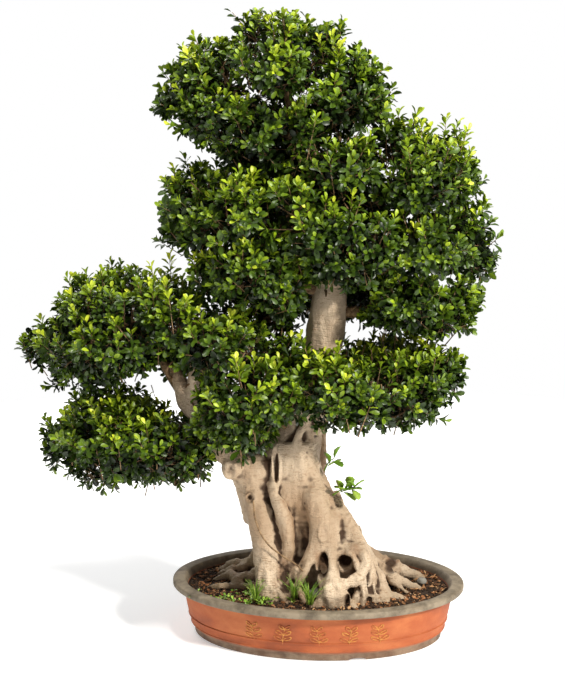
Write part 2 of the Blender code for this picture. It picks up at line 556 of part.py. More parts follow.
def make_sprout(foot, tip, pairs, neighbours):
    """A young shoot from the trunk: a thin stem with leaves on both sides and one at its end."""
    start, end = grown(foot), grown(tip)
    middle = (start + end) / 2 + Vector((0.0, 0.0, 0.012))
    stem = blade([start, middle, end], 0.0016, 0.0012)
    leaves = [leaf(end - (end - middle).normalized() * 0.004, end + (end - middle).normalized() * 0.022, 0.011, 0.003)]
    for index in range(pairs):
        along = (index + 1.2) / (pairs + 0.6)
        base = start.lerp(middle, 2 * along) if along < 0.5 else middle.lerp(end, 2 * along - 1)
        side = 1 if index % 2 else -1
        out = Vector((0.35, -0.5 * side, 0.75 * side + 0.15)).normalized()
        leaves.append(leaf(base - out * 0.002, base + out * 0.022, 0.011, 0.003))
    return largest_island(boolean(boolean(stem, leaves, "UNION"), neighbours))


def blade(points, foot_radius, tip_radius):
    """A thin three-sided blade or stem through a few points."""
    curve = bpy.data.curves.new("blade", "CURVE")
    curve.dimensions = "3D"
    curve.bevel_depth = 1.0
    curve.bevel_resolution = 0
    curve.use_fill_caps = True
    spline = curve.splines.new("BEZIER")
    spline.resolution_u = 2
    spline.bezier_points.add(len(points) - 1)
    for index, (knot, place) in enumerate(zip(spline.bezier_points, points)):
        knot.co = place
        knot.radius = foot_radius + (tip_radius - foot_radius) * index / (len(points) - 1)
        knot.handle_left_type = knot.handle_right_type = "AUTO"
    obj = bpy.data.objects.new("blade", curve)
    bpy.context.scene.collection.objects.link(obj)
    return evaluated_mesh(obj, welded=0.00005)


def make_grass(x, y, rng, neighbours):
    """A tuft of grass: a small crown in the soil with arching blades."""
    foot = grown((x, y, DRAWN_SOIL_LEVEL))
    edit = bmesh.new()
    bmesh.ops.create_icosphere(edit, subdivisions=1, radius=0.006)
    bmesh.ops.translate(edit, verts=edit.verts, vec=foot + Vector((0.0, 0.0, SOIL_MOUND * 0.6)))
    crown = bpy.data.meshes.new("crown")
    edit.to_mesh(crown)
    edit.free()
    blades = []
    for index in range(6):
        turn = math.tau * index / 6 + rng.uniform(-0.3, 0.3)
        reach = rng.uniform(0.012, 0.030)
        height = rng.uniform(0.020, 0.042)
        out = Vector((math.cos(turn), math.sin(turn), 0.0))
        base = foot + Vector((0.0, 0.0, SOIL_MOUND * 0.6)) + out * 0.001
        blades.append(blade([base, base + out * reach * 0.4 + Vector((0, 0, height * 0.8)),
                             base + out * reach + Vector((0, 0, height))], 0.0014, 0.0007))
    return largest_island(boolean(boolean(crown, blades, "UNION"), neighbours))


def make_stone(x, y, radius, neighbours):
    """A rounded stone that sits in the soil."""
    edit = bmesh.new()
    bmesh.ops.create_icosphere(edit, subdivisions=2, radius=radius)
    for vertex in edit.verts:
        vertex.co *= 1.0 + 0.25 * noise.noise(vertex.co * 60.0 + Vector((x, y, 0.0)) * 40.0)
        vertex.co.z *= 0.85
    bmesh.ops.translate(edit, verts=edit.verts, vec=grown((x, y, DRAWN_SOIL_LEVEL + radius * 0.7)))
    mesh = bpy.data.meshes.new("stone")
    edit.to_mesh(mesh)
    edit.free()
    return largest_island(boolean(mesh, neighbours))


def main():
    model = clear_scene()
    clay = material("fired_clay", (0.62, 0.25, 0.11), 0.75)
    black_plastic = material("black_plastic", (0.03, 0.03, 0.03), 0.5)
    earth = material("soil", (0.06, 0.035, 0.02), 0.95)
    bark = material("bark", (0.66, 0.52, 0.36), 0.7)
    foliage = material("leaves", (0.10, 0.20, 0.03), 0.45)
    young = material("young_leaves", (0.30, 0.48, 0.10), 0.5)
    rock = material("stone", (0.40, 0.40, 0.38), 0.8)
    clearance = 1.5 * GAP

    add("pot", make_pot(), model, clay)
    for name, side in (("drain_mesh_left", -1), ("drain_mesh_right", 1)):
        add(name, make_drain_mesh(side * DRAIN_OFFSET), model, black_plastic)

    wood, wood_bodies = make_wood()
    add("trunk_and_branches", wood, model, bark)
    soil = make_soil([swollen(wood_bodies[0], clearance), wood_bodies[0]])
    add("soil", soil, model, earth)

    placed = []
    for name, balls in LEAF_MASSES.items():
        mesh, uncut = make_leaf_mass(balls, wood_bodies + placed)
        add(name, mesh, model, foliage)
        placed.append(uncut)

    for name, (foot, tip, pairs) in SPROUTS.items():
        add(name, make_sprout(foot, tip, pairs, [swollen(wood_bodies[0], clearance)]), model, young)
    rng = random.Random(7)
    ground = [swollen(wood_bodies[0], clearance), swollen(soil, clearance)]
    for name, (x, y) in GRASS_TUFTS.items():
        add(name, make_grass(x, y, rng, ground), model, young)
    for name, (x, y, radius) in STONES.items():
        add(name, make_stone(x, y, radius, ground), model, rock)


main()
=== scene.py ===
"""Finished look of a large fig bonsai in a low oval clay pot, in metres, +Z up.

The pot, the soil, the wood, the masses of leaves and the small plants are each a class that builds
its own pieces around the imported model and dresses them. The tree leans over the left of the pot.
"""

import logging
import math
import random
from dataclasses import dataclass, field
from enum import Enum

import bmesh
import bpy
import numpy as np
from mathutils import Matrix, Vector, noise
from mathutils.bvhtree import BVHTree


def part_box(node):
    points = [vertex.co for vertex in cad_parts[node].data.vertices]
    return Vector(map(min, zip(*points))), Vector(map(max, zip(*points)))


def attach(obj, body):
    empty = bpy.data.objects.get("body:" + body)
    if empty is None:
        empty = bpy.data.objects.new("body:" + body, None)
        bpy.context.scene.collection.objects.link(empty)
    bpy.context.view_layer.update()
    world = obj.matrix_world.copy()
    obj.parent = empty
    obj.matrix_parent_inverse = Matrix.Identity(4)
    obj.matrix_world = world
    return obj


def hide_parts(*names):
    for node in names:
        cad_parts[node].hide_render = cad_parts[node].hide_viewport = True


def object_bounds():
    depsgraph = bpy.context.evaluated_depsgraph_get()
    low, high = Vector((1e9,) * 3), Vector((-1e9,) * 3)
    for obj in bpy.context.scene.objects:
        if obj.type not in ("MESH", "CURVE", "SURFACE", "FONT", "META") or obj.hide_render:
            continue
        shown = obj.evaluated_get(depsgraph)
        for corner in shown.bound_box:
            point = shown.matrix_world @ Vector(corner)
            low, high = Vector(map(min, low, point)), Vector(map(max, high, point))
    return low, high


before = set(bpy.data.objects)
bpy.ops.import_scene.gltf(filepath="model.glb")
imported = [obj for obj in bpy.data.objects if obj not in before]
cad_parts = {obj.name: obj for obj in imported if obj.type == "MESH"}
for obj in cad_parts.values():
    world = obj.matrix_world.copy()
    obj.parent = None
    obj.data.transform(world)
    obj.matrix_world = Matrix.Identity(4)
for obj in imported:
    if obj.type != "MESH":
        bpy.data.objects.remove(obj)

CAD_BOX = [[float(value) for value in corner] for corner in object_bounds()]
BODY = "root"
log = logging.getLogger("bonsai")

Point = tuple[float, float, float]
Knot = tuple[float, float, float, float]


class Slot(Enum):
    """The record's material slots that the pieces stand for, which are only logged."""

    CLAY = "fired_clay"
    SOIL = "soil"
    BARK = "bark"
    LEAF = "leaf"
    YOUNG_LEAF = "young_leaf"
    STONE = "stone"


# ---------------------------------------------------------------- helpers


def linear(red: int, green: int, blue: int) -> tuple[float, float, float, float]:
    """Turns an everyday 0 to 255 colour into the linear colour that a shader reads.

    Args:
        red, green, blue: The colour as a screen shows it.

    Returns:
        The linear colour with full alpha.
    """
    def channel(value: int) -> float:
        """Makes one channel linear."""
        share = value / 255
        return share / 12.92 if share <= 0.04045 else ((share + 0.055) / 1.055) ** 2.4

    return channel(red), channel(green), channel(blue), 1.0


def deselect() -> None:
    """Clears the selection, so that an operator acts on the new piece alone."""
    bpy.ops.object.select_all(action="DESELECT")


def take(piece: bpy.types.Object) -> bpy.types.Object:
    """Selects one object alone and makes it active.

    Args:
        piece: The object.

    Returns:
        The same object.
    """
    deselect()
    piece.select_set(True)
    bpy.context.view_layer.objects.active = piece
    return piece


def new_piece(name: str, mesh: bpy.types.Mesh) -> bpy.types.Object:
    """Links a mesh to the scene as a new object at the origin.

    Args:
        name: The object's name.
        mesh: Its mesh.

    Returns:
        The object.
    """
    piece = bpy.data.objects.new(name, mesh)
    bpy.context.scene.collection.objects.link(piece)
    return piece


def apply_modifiers(piece: bpy.types.Object) -> bpy.types.Object:
    """Applies every modifier on a piece, in order.

    Args:
        piece: The object.

    Returns:
        The same object.
    """
    take(piece)
    for modifier in list(piece.modifiers):
        bpy.ops.object.modifier_apply(modifier=modifier.name)
    return piece


def join(pieces: list[bpy.types.Object], name: str) -> bpy.types.Object:
    """Joins several objects into the first one and names it.

    Args:
        pieces: The objects, of which the first takes up the rest.
        name: The joined object's name.

    Returns:
        The joined object.
    """
    deselect()
    for piece in pieces:
        piece.select_set(True)
    bpy.context.view_layer.objects.active = pieces[0]
    if len(pieces) > 1:
        bpy.ops.object.join()
    pieces[0].name = name
    pieces[0].data.name = name
    return pieces[0]


def tube(knots: list[Knot], sides: int = 3, steps: int = 6) -> bpy.types.Object:
    """A round tube through knots, with a radius of its own at each, made a closed mesh.

    Args:
        knots: Points as x, y, z and radius.
        sides: The curve's bevel resolution, which sets how many sides the tube has.
        steps: The stretches between two knots.

    Returns:
        The tube as a mesh object.
    """
    curve = bpy.data.curves.new("tube", "CURVE")
    curve.dimensions = "3D"
    curve.bevel_depth = 1.0
    curve.bevel_resolution = sides
    curve.use_fill_caps = True
    spline = curve.splines.new("BEZIER")
    spline.resolution_u = steps
    spline.bezier_points.add(len(knots) - 1)
    for bezier, (x, y, z, radius) in zip(spline.bezier_points, knots):
        bezier.co = (x, y, z)
        bezier.radius = radius
        bezier.handle_left_type = bezier.handle_right_type = "AUTO"
    piece = bpy.data.objects.new("tube", curve)
    bpy.context.scene.collection.objects.link(piece)
    take(piece)
    bpy.ops.object.convert(target="MESH")
    weld(piece, 0.00005)
    return piece


def weld(piece: bpy.types.Object, distance: float) -> None:
    """Merges a mesh's doubled points and turns its faces outwards.

    Args:
        piece: The object.
        distance: How near to each other two points are merged.
    """
    edit = bmesh.new()
    edit.from_mesh(piece.data)
    bmesh.ops.remove_doubles(edit, verts=edit.verts, dist=distance)
    bmesh.ops.recalc_face_normals(edit, faces=edit.faces)
    edit.to_mesh(piece.data)
    edit.free()


def smooth(piece: bpy.types.Object, degrees: float = 50.0) -> None:
    """Shades a piece smooth except where its faces meet at more than an angle."""
    take(piece)
    bpy.ops.object.shade_smooth_by_angle(angle=math.radians(degrees))


def settle(piece: bpy.types.Object, slot: Slot, material: bpy.types.Material, *nodes: str) -> None:
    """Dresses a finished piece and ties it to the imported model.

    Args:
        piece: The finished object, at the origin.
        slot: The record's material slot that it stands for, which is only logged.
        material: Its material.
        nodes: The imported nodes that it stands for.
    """
    piece.data.materials.clear()
    piece.data.materials.append(material)
    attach(piece, BODY)
    if nodes:
        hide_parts(*nodes)
    log.info("%s: %d faces, slot %s", piece.name, len(piece.data.polygons), slot.value)


def mesh_from_arrays(name: str, points: np.ndarray, faces: np.ndarray,
                     smooth_faces: bool = True) -> bpy.types.Mesh:
    """Makes a mesh from an array of points and an array of triangles or quads.

    Args:
        name: The mesh's name.
        points: Points, one row each.
        faces: Point indices, one face a row, all with the same number of corners.
        smooth_faces: Whether the faces are shaded smooth.

    Returns:
        The mesh.
    """
    mesh = bpy.data.meshes.new(name)
    mesh.vertices.add(len(points))
    mesh.vertices.foreach_set("co", points.astype(np.float32).ravel())
    corners = faces.shape[1]
    mesh.loops.add(len(faces) * corners)
    mesh.loops.foreach_set("vertex_index", faces.astype(np.int32).ravel())
    mesh.polygons.add(len(faces))
    mesh.polygons.foreach_set("loop_start", np.arange(0, len(faces) * corners, corners, dtype=np.int32))
    mesh.polygons.foreach_set("use_smooth", np.full(len(faces), smooth_faces))
    mesh.update(calc_edges=True)
    return mesh


def carry(mesh: bpy.types.Mesh, name: str, values: np.ndarray | list[float]) -> None:
    """Stores one value for each of a mesh's points, for its material to read."""
    store = mesh.attributes.new(name, "FLOAT", "POINT")
    store.data.foreach_set("value", np.asarray(values, np.float32))


def per_point(mesh: bpy.types.Mesh, what: str) -> np.ndarray:
    """Reads the place or the direction of each of a mesh's points.

    Args:
        mesh: The mesh.
        what: co for places or normal for directions.

    Returns:
        One row a point.
    """
    values = np.empty(len(mesh.vertices) * 3, np.float32)
    mesh.vertices.foreach_get(what, values)
    return values.reshape(-1, 3)


def edge_ends(mesh: bpy.types.Mesh) -> np.ndarray:
    """Reads the two points of each of a mesh's edges.

    Args:
        mesh: The mesh.

    Returns:
        Two point numbers an edge.
    """
    ends = np.empty(len(mesh.edges) * 2, np.int32)
    mesh.edges.foreach_get("vertices", ends)
    return ends.reshape(-1, 2)


def closed(edit: bmesh.types.BMesh, name: str) -> bpy.types.Object:
    """Turns a closed shape's faces outwards and makes it a piece.

    Args:
        edit: The shape.
        name: The piece's name.

    Returns:
        The piece.
    """
    bmesh.ops.recalc_face_normals(edit, faces=edit.faces)
    mesh = bpy.data.meshes.new(name)
    edit.to_mesh(mesh)
    edit.free()
    return new_piece(name, mesh)


def node_tree_bvh(node: str) -> BVHTree:
    """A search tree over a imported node's surface."""
    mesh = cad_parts[node].data
    return BVHTree.FromPolygons([v.co for v in mesh.vertices], [list(p.vertices) for p in mesh.polygons])


# ---------------------------------------------------------------- finishes


class Painter:
    """Builds one procedural material on a Principled BSDF, node by node."""

    def __init__(self, name: str, roughness: float, specular: float = 0.4) -> None:
        """Starts the material with its constant settings.

        Args:
            name: The material's name.
            roughness: Its roughness.
            specular: Its specular level.
        """
        self.material = bpy.data.materials.new(name)
        self.material.use_nodes = True
        self.tree = self.material.node_tree
        self.shader = self.tree.nodes["Principled BSDF"]
        self.shader.inputs["Roughness"].default_value = roughness
        self.shader.inputs["Specular IOR Level"].default_value = specular

    def node(self, kind: str, **settings: object) -> bpy.types.Node:
        """Adds a node and sets its properties.

        Args:
            kind: The node's type.
            settings: Its properties.

        Returns:
            The node.
        """
        made = self.tree.nodes.new(kind)
        for key, value in settings.items():
            setattr(made, key, value)
        return made

    def link(self, out: bpy.types.NodeSocket, into: bpy.types.NodeSocket) -> None:
        """Joins an output to an input."""
        self.tree.links.new(out, into)

    def place(self, scale: Point) -> bpy.types.NodeSocket:
        """Object coordinates, stretched by a scale along each axis.

        Args:
            scale: The stretch along each axis.

        Returns:
            The coordinates.
        """
        coordinates = self.node("ShaderNodeTexCoord")
        mapping = self.node("ShaderNodeMapping")
        mapping.inputs["Scale"].default_value = scale
        self.link(coordinates.outputs["Object"], mapping.inputs["Vector"])
        return mapping.outputs["Vector"]

    def noise(self, scale: Point, detail: float = 3.0, rough: float = 0.55) -> bpy.types.NodeSocket:
        """Noise whose grain is set along each axis, in cells a metre.

        Args:
            scale: Cells a metre along each axis.
            detail: How many finer layers it has.
            rough: How strong the finer layers are.

        Returns:
            The noise, from 0 to 1.
        """
        made = self.node("ShaderNodeTexNoise")
        made.inputs["Scale"].default_value = 1.0
        made.inputs["Detail"].default_value = detail
        made.inputs["Roughness"].default_value = rough
        self.link(self.place(scale), made.inputs["Vector"])
        return made.outputs["Fac"]

    def cells(self, scale: Point) -> bpy.types.NodeSocket:
        """Distance to scattered points, in cells a metre along each axis.

        Args:
            scale: Cells a metre along each axis.

        Returns:
            The distance.
        """
        made = self.node("ShaderNodeTexVoronoi")
        made.inputs["Scale"].default_value = 1.0
        self.link(self.place(scale), made.inputs["Vector"])
        return made.outputs["Distance"]

    def attribute(self, name: str, output: str = "Fac") -> bpy.types.NodeSocket:
        """A value or colour that the mesh carries."""
        made = self.node("ShaderNodeAttribute", attribute_name=name)
        return made.outputs[output]

    def height(self) -> bpy.types.NodeSocket:
        """A point's height above the ground.

        Returns:
            The height.
        """
        split = self.node("ShaderNodeSeparateXYZ")
        self.link(self.place((1.0, 1.0, 1.0)), split.inputs["Vector"])
        return split.outputs["Z"]

    def math(self, operation: str, first: object, second: object) -> bpy.types.NodeSocket:
        """One sum on two sockets or numbers.

        Args:
            operation: The sum's name.
            first: A socket or a number.
            second: A socket or a number.

        Returns:
            The result.
        """
        made = self.node("ShaderNodeMath", operation=operation)
        for socket, value in zip(made.inputs, (first, second)):
            if isinstance(value, bpy.types.NodeSocket):
                self.link(value, socket)
            else:
                socket.default_value = value
        return made.outputs["Value"]

    def ramp(self, value: bpy.types.NodeSocket, stops: list[tuple[float, tuple]]) -> bpy.types.NodeSocket:
        """Colours that follow a value, through (place, colour) stops.

        Args:
            value: The value that is followed.
            stops: Places from 0 to 1, each with its colour.

        Returns:
            The colour.
        """
        made = self.node("ShaderNodeValToRGB")
        elements = made.color_ramp.elements
        while len(elements) < len(stops):
            elements.new(0.5)
        for element, (place, colour) in zip(elements, stops):
            element.position = place
            element.color = colour
        self.link(value, made.inputs["Fac"])
        return made.outputs["Color"]

    def mask(self, value: bpy.types.NodeSocket, low: float, high: float) -> bpy.types.NodeSocket:
        """0 below one value and 1 above another, smooth between.

        Args:
            value: The value that is followed.
            low: Where the mask starts.
            high: Where it is full.

        Returns:
            The mask.
        """
        made = self.node("ShaderNodeMapRange", interpolation_type="SMOOTHSTEP")
        made.inputs["From Min"].default_value = low
        made.inputs["From Max"].default_value = high
        self.link(value, made.inputs["Value"])
        return made.outputs["Result"]

    def mix(self, share: object, first: object, second: object, blend: str = "MIX") -> bpy.types.NodeSocket:
        """Mixes two colours or colour sockets by a share.

        Args:
            share: How much of the second is seen.
            first: A colour.
            second: Another colour.
            blend: How the two are mixed.

        Returns:
            The mixed colour.
        """
        made = self.node("ShaderNodeMix", data_type="RGBA", blend_type=blend)
        colour_inputs = [s for s in made.inputs if s.type == "RGBA"]
        sockets = (made.inputs[0], colour_inputs[0], colour_inputs[1])
        for socket, value in zip(sockets, (share, first, second)):
            if isinstance(value, bpy.types.NodeSocket):
                self.link(value, socket)
            else:
                socket.default_value = value
        return [s for s in made.outputs if s.type == "RGBA"][0]

    def colour(self, socket: bpy.types.NodeSocket) -> None:
        """Sends a colour to the surface."""
        self.link(socket, self.shader.inputs["Base Color"])

    def roughness(self, value: bpy.types.NodeSocket, low: float, high: float) -> None:
        """Lets the gloss follow a value, between two roughnesses.

        Args:
            value: The value that is followed.
            low: The roughness at 0.
            high: The roughness at 1.
        """
        made = self.node("ShaderNodeMapRange")
        made.inputs["To Min"].default_value = low
        made.inputs["To Max"].default_value = high
        self.link(value, made.inputs["Value"])
        self.link(made.outputs["Result"], self.shader.inputs["Roughness"])

    def bump(self, value: bpy.types.NodeSocket, depth: float, strength: float = 1.0) -> None:
        """Raises the surface by a value, to a depth in metres, over any bump that it has already.

        Args:
            value: The value that is followed.
            depth: The height of the bump in metres.
            strength: How much of it is seen.
        """
        made = self.node("ShaderNodeBump")
        made.inputs["Distance"].default_value = depth
        made.inputs["Strength"].default_value = strength
        self.link(value, made.inputs["Height"])
        normal = self.shader.inputs["Normal"]
        if normal.is_linked:
            self.link(normal.links[0].from_socket, made.inputs["Normal"])
        self.link(made.outputs["Normal"], normal)


@dataclass(frozen=True)
class BarkFinish:
    """Smooth pale fig bark: fine level lenticels, dark specks, painted shade in creases and hollows, and
    olive algal growth with painted shade on the low roots' shaded side.
    """

    name: str = "bark"
    pale: tuple = linear(210, 189, 163)
    tan: tuple = linear(160, 132, 103)
    rust: tuple = linear(138, 98, 64)
    hollow: tuple = linear(66, 46, 30)
    # Painted shade: the dark colour laid into creases and carved hollows.
    speck: tuple = linear(104, 80, 56)
    # Olive colour for algal growth mixed with painted shade on the low roots' shaded side.
    algae_and_shade: tuple = linear(134, 116, 78)
    soil_stain: tuple = linear(112, 88, 60)

    def material(self) -> bpy.types.Material:
        """Builds the material.

        Returns:
            The material.
        """
        paint = Painter(self.name, 0.62, 0.3)
        broad = paint.noise((9.0, 9.0, 5.0), 4.0)
        colour = paint.ramp(broad, [(0.34, self.tan), (0.62, self.pale)])
        lenticels = paint.noise((70.0, 70.0, 420.0), 4.0, 0.6)
        colour = paint.mix(paint.mask(lenticels, 0.56, 0.7), colour, self.tan)
        fine = paint.noise((420.0, 420.0, 420.0), 2.0)
        colour = paint.mix(paint.mask(fine, 0.55, 0.8), colour, self.tan)
        rust = paint.mask(paint.noise((22.0, 22.0, 9.0), 5.0, 0.62), 0.52, 0.68)
        low = paint.math("SUBTRACT", 1.0, paint.mask(paint.height(), 0.15, 0.42))
        low = paint.math("ADD", 0.16, paint.math("MULTIPLY", low, 0.42))
        colour = paint.mix(paint.math("MULTIPLY", rust, low), colour, self.rust)
        specks = paint.cells((150.0, 150.0, 210.0))
        patches = paint.mask(paint.noise((19.0, 19.0, 19.0), 2.0), 0.53, 0.66)
        near_speck = paint.math("SUBTRACT", 1.0, paint.mask(specks, 0.1, 0.22))
        colour = paint.mix(paint.math("MULTIPLY", near_speck, paint.math("MULTIPLY", patches, 0.6)), colour,
                           self.speck)
        # Painted shade with algal growth: olive on the low left roots where they turn away from the light.
        moss_and_shade = paint.mask(paint.attribute("shaded"), 0.25, 0.95)
        colour = paint.mix(paint.math("MULTIPLY", moss_and_shade, 0.6), colour, self.algae_and_shade)
        stain = paint.math("SUBTRACT", 1.0, paint.mask(paint.height(), 0.102, 0.135))
        colour = paint.mix(paint.math("MULTIPLY", stain, 0.55), colour, self.soil_stain)
        # Painted shade: creases and carved hollows are darkened.
        colour = paint.mix(paint.mask(paint.attribute("hollow"), 0.05, 0.85), colour, self.hollow)
        paint.colour(colour)
        paint.bump(paint.noise((60.0, 60.0, 22.0), 6.0, 0.62), 0.006)
        paint.bump(lenticels, 0.003)
        paint.bump(fine, 0.0007)
        return paint.material


@dataclass(frozen=True)
class TwigFinish:
    """Thin brown bark on small branches and twigs."""

    name: str = "twig_bark"
    light: tuple = linear(150, 122, 88)
    dark: tuple = linear(84, 62, 42)

    def material(self) -> bpy.types.Material:
        """Builds the material.

        Returns:
            The material.
        """
        paint = Painter(self.name, 0.7, 0.25)
        grain = paint.noise((120.0, 120.0, 120.0), 3.0)
        paint.colour(paint.ramp(grain, [(0.35, self.dark), (0.65, self.light)]))
        paint.bump(grain, 0.0008)
        return paint.material


@dataclass(frozen=True)
class LeafFinish:
    """Glossy fig leaves, from dark older leaves to fresh yellow-green tips, with painted light and painted
    shade, by each leaf's tint.
    """

    name: str = "leaf"
    # The dark end of the tint ramp is painted shade for the inner leaves; the bright end is young leaves with
    # painted sunlight.
    deepest_shade: tuple = linear(12, 22, 5)
    old_and_shaded: tuple = linear(30, 48, 9)
    grown: tuple = linear(66, 90, 15)
    young: tuple = linear(130, 154, 24)
    newest_and_sunlit: tuple = linear(204, 212, 60)
    gloss: float = 0.4

    def material(self) -> bpy.types.Material:
        """Builds the material.

        Returns:
            The material.
        """
        paint = Painter(self.name, self.gloss, 0.38)
        tint = paint.attribute("tint")
        # Painted light and shade: the tint holds how lit each sprig is, as well as leaf age.
        colour = paint.ramp(tint, [(0.0, self.deepest_shade), (0.25, self.old_and_shaded), (0.52, self.grown),
                                   (0.78, self.young), (1.0, self.newest_and_sunlit)])
        mottle = paint.noise((260.0, 260.0, 260.0), 2.0)
        colour = paint.mix(paint.math("MULTIPLY", paint.mask(mottle, 0.45, 0.75), 0.25), colour, self.old_and_shaded)
        paint.colour(colour)
        return paint.material


@dataclass(frozen=True)
class ClayFinish:
    """Fired orange clay, weathered grey on the rim and foot, with its inner wall above the soil darkened by
    painted shade.
    """

    name: str = "fired_clay"
    clay: tuple = linear(162, 84, 46)
    dark_clay: tuple = linear(126, 62, 34)
    pale_clay: tuple = linear(184, 110, 66)
    rim: tuple = linear(134, 121, 102)
    rim_dark: tuple = linear(88, 78, 64)
    foot: tuple = linear(116, 100, 80)
    # Painted shade on the inner wall above the soil.
    inside: tuple = linear(74, 56, 42)
    rim_height: float = 0.0985
    foot_height: float = 0.0145

    def material(self) -> bpy.types.Material:
        """Builds the material.

        Returns:
            The material.
        """
        paint = Painter(self.name, 0.68, 0.35)
        cloud = paint.noise((9.0, 9.0, 16.0), 5.0)
        colour = paint.ramp(cloud, [(0.34, self.dark_clay), (0.52, self.clay), (0.72, self.pale_clay)])
        grain = paint.noise((700.0, 700.0, 700.0), 2.0)
        colour = paint.mix(paint.math("MULTIPLY", paint.mask(grain, 0.55, 0.75), 0.35), colour,
                           self.dark_clay)
        streaks = paint.noise((14.0, 14.0, 150.0), 4.0)
        wear = paint.ramp(paint.noise((30.0, 30.0, 30.0), 6.0, 0.65),
                          [(0.36, self.rim_dark), (0.6, self.rim)])
        wear = paint.mix(paint.math("MULTIPLY", paint.mask(streaks, 0.5, 0.7), 0.4), wear, self.foot)
        height = paint.height()
        ragged = paint.math("ADD", height, paint.math("MULTIPLY", cloud, 0.004))
        colour = paint.mix(paint.mask(ragged, self.rim_height, self.rim_height + 0.0035), colour, wear)
        ground = paint.math("SUBTRACT", 1.0, paint.mask(ragged, self.foot_height, self.foot_height + 0.009))
        colour = paint.mix(paint.math("MULTIPLY", ground, 0.85), colour, wear)
        # Painted shade: the inner wall above the soil is darkened.
        colour = paint.mix(paint.attribute("inside"), colour, self.inside)
        paint.colour(colour)
        paint.bump(paint.noise((60.0, 60.0, 60.0), 6.0), 0.0009)
        paint.bump(grain, 0.00025)
        paint.roughness(cloud, 0.58, 0.82)
        return paint.material


@dataclass(frozen=True)
class SlipFinish:
    """Worn ochre slip on the pot's ornament."""

    name: str = "ochre_slip"
    bright: tuple = linear(192, 132, 66)
    worn: tuple = linear(158, 86, 46)

    def material(self) -> bpy.types.Material:
        """Builds the material.

        Returns:
            The material.
        """
        paint = Painter(self.name, 0.6, 0.3)
        wear = paint.noise((120.0, 120.0, 120.0), 4.0)
        paint.colour(paint.ramp(wear, [(0.4, self.worn), (0.58, self.bright)]))
        paint.bump(wear, 0.0005)
        return paint.material


@dataclass(frozen=True)
class GrainFinish:
    """Loose matter in three colours: soil, bark chips or litter, by the tint that each bit carries."""

    name: str
    colours: tuple
    rough: float = 0.9
    grain: float = 300.0
    depth: float = 0.0008

    def material(self) -> bpy.types.Material:
        """Builds the material.

        Returns:
            The material.
        """
        paint = Painter(self.name, self.rough, 0.2)
        grit = paint.noise((self.grain,) * 3, 3.0)
        share = paint.math("ADD", paint.attribute("tint"), paint.math("MULTIPLY", grit, 0.3))
        last = len(self.colours) - 1
        stops = [(0.1 + 0.9 * index / last, colour) for index, colour in enumerate(self.colours)]
        paint.colour(paint.ramp(share, stops))
        paint.bump(grit, self.depth)
        return paint.material


@dataclass(frozen=True)
class PlasticFinish:
    """Moulded black plastic, a little dusty."""

    name: str = "mesh_plastic"
    clean: tuple = linear(30, 30, 30)
    dusty: tuple = linear(66, 60, 52)

    def material(self) -> bpy.types.Material:
        """Builds the material.

        Returns:
            The material.
        """
        paint = Painter(self.name, 0.5, 0.4)
        dust = paint.noise((90.0, 90.0, 90.0), 3.0)
        paint.colour(paint.ramp(dust, [(0.42, self.clean), (0.7, self.dusty)]))
        paint.bump(dust, 0.0002)
        return paint.material


# ---------------------------------------------------------------- the studio


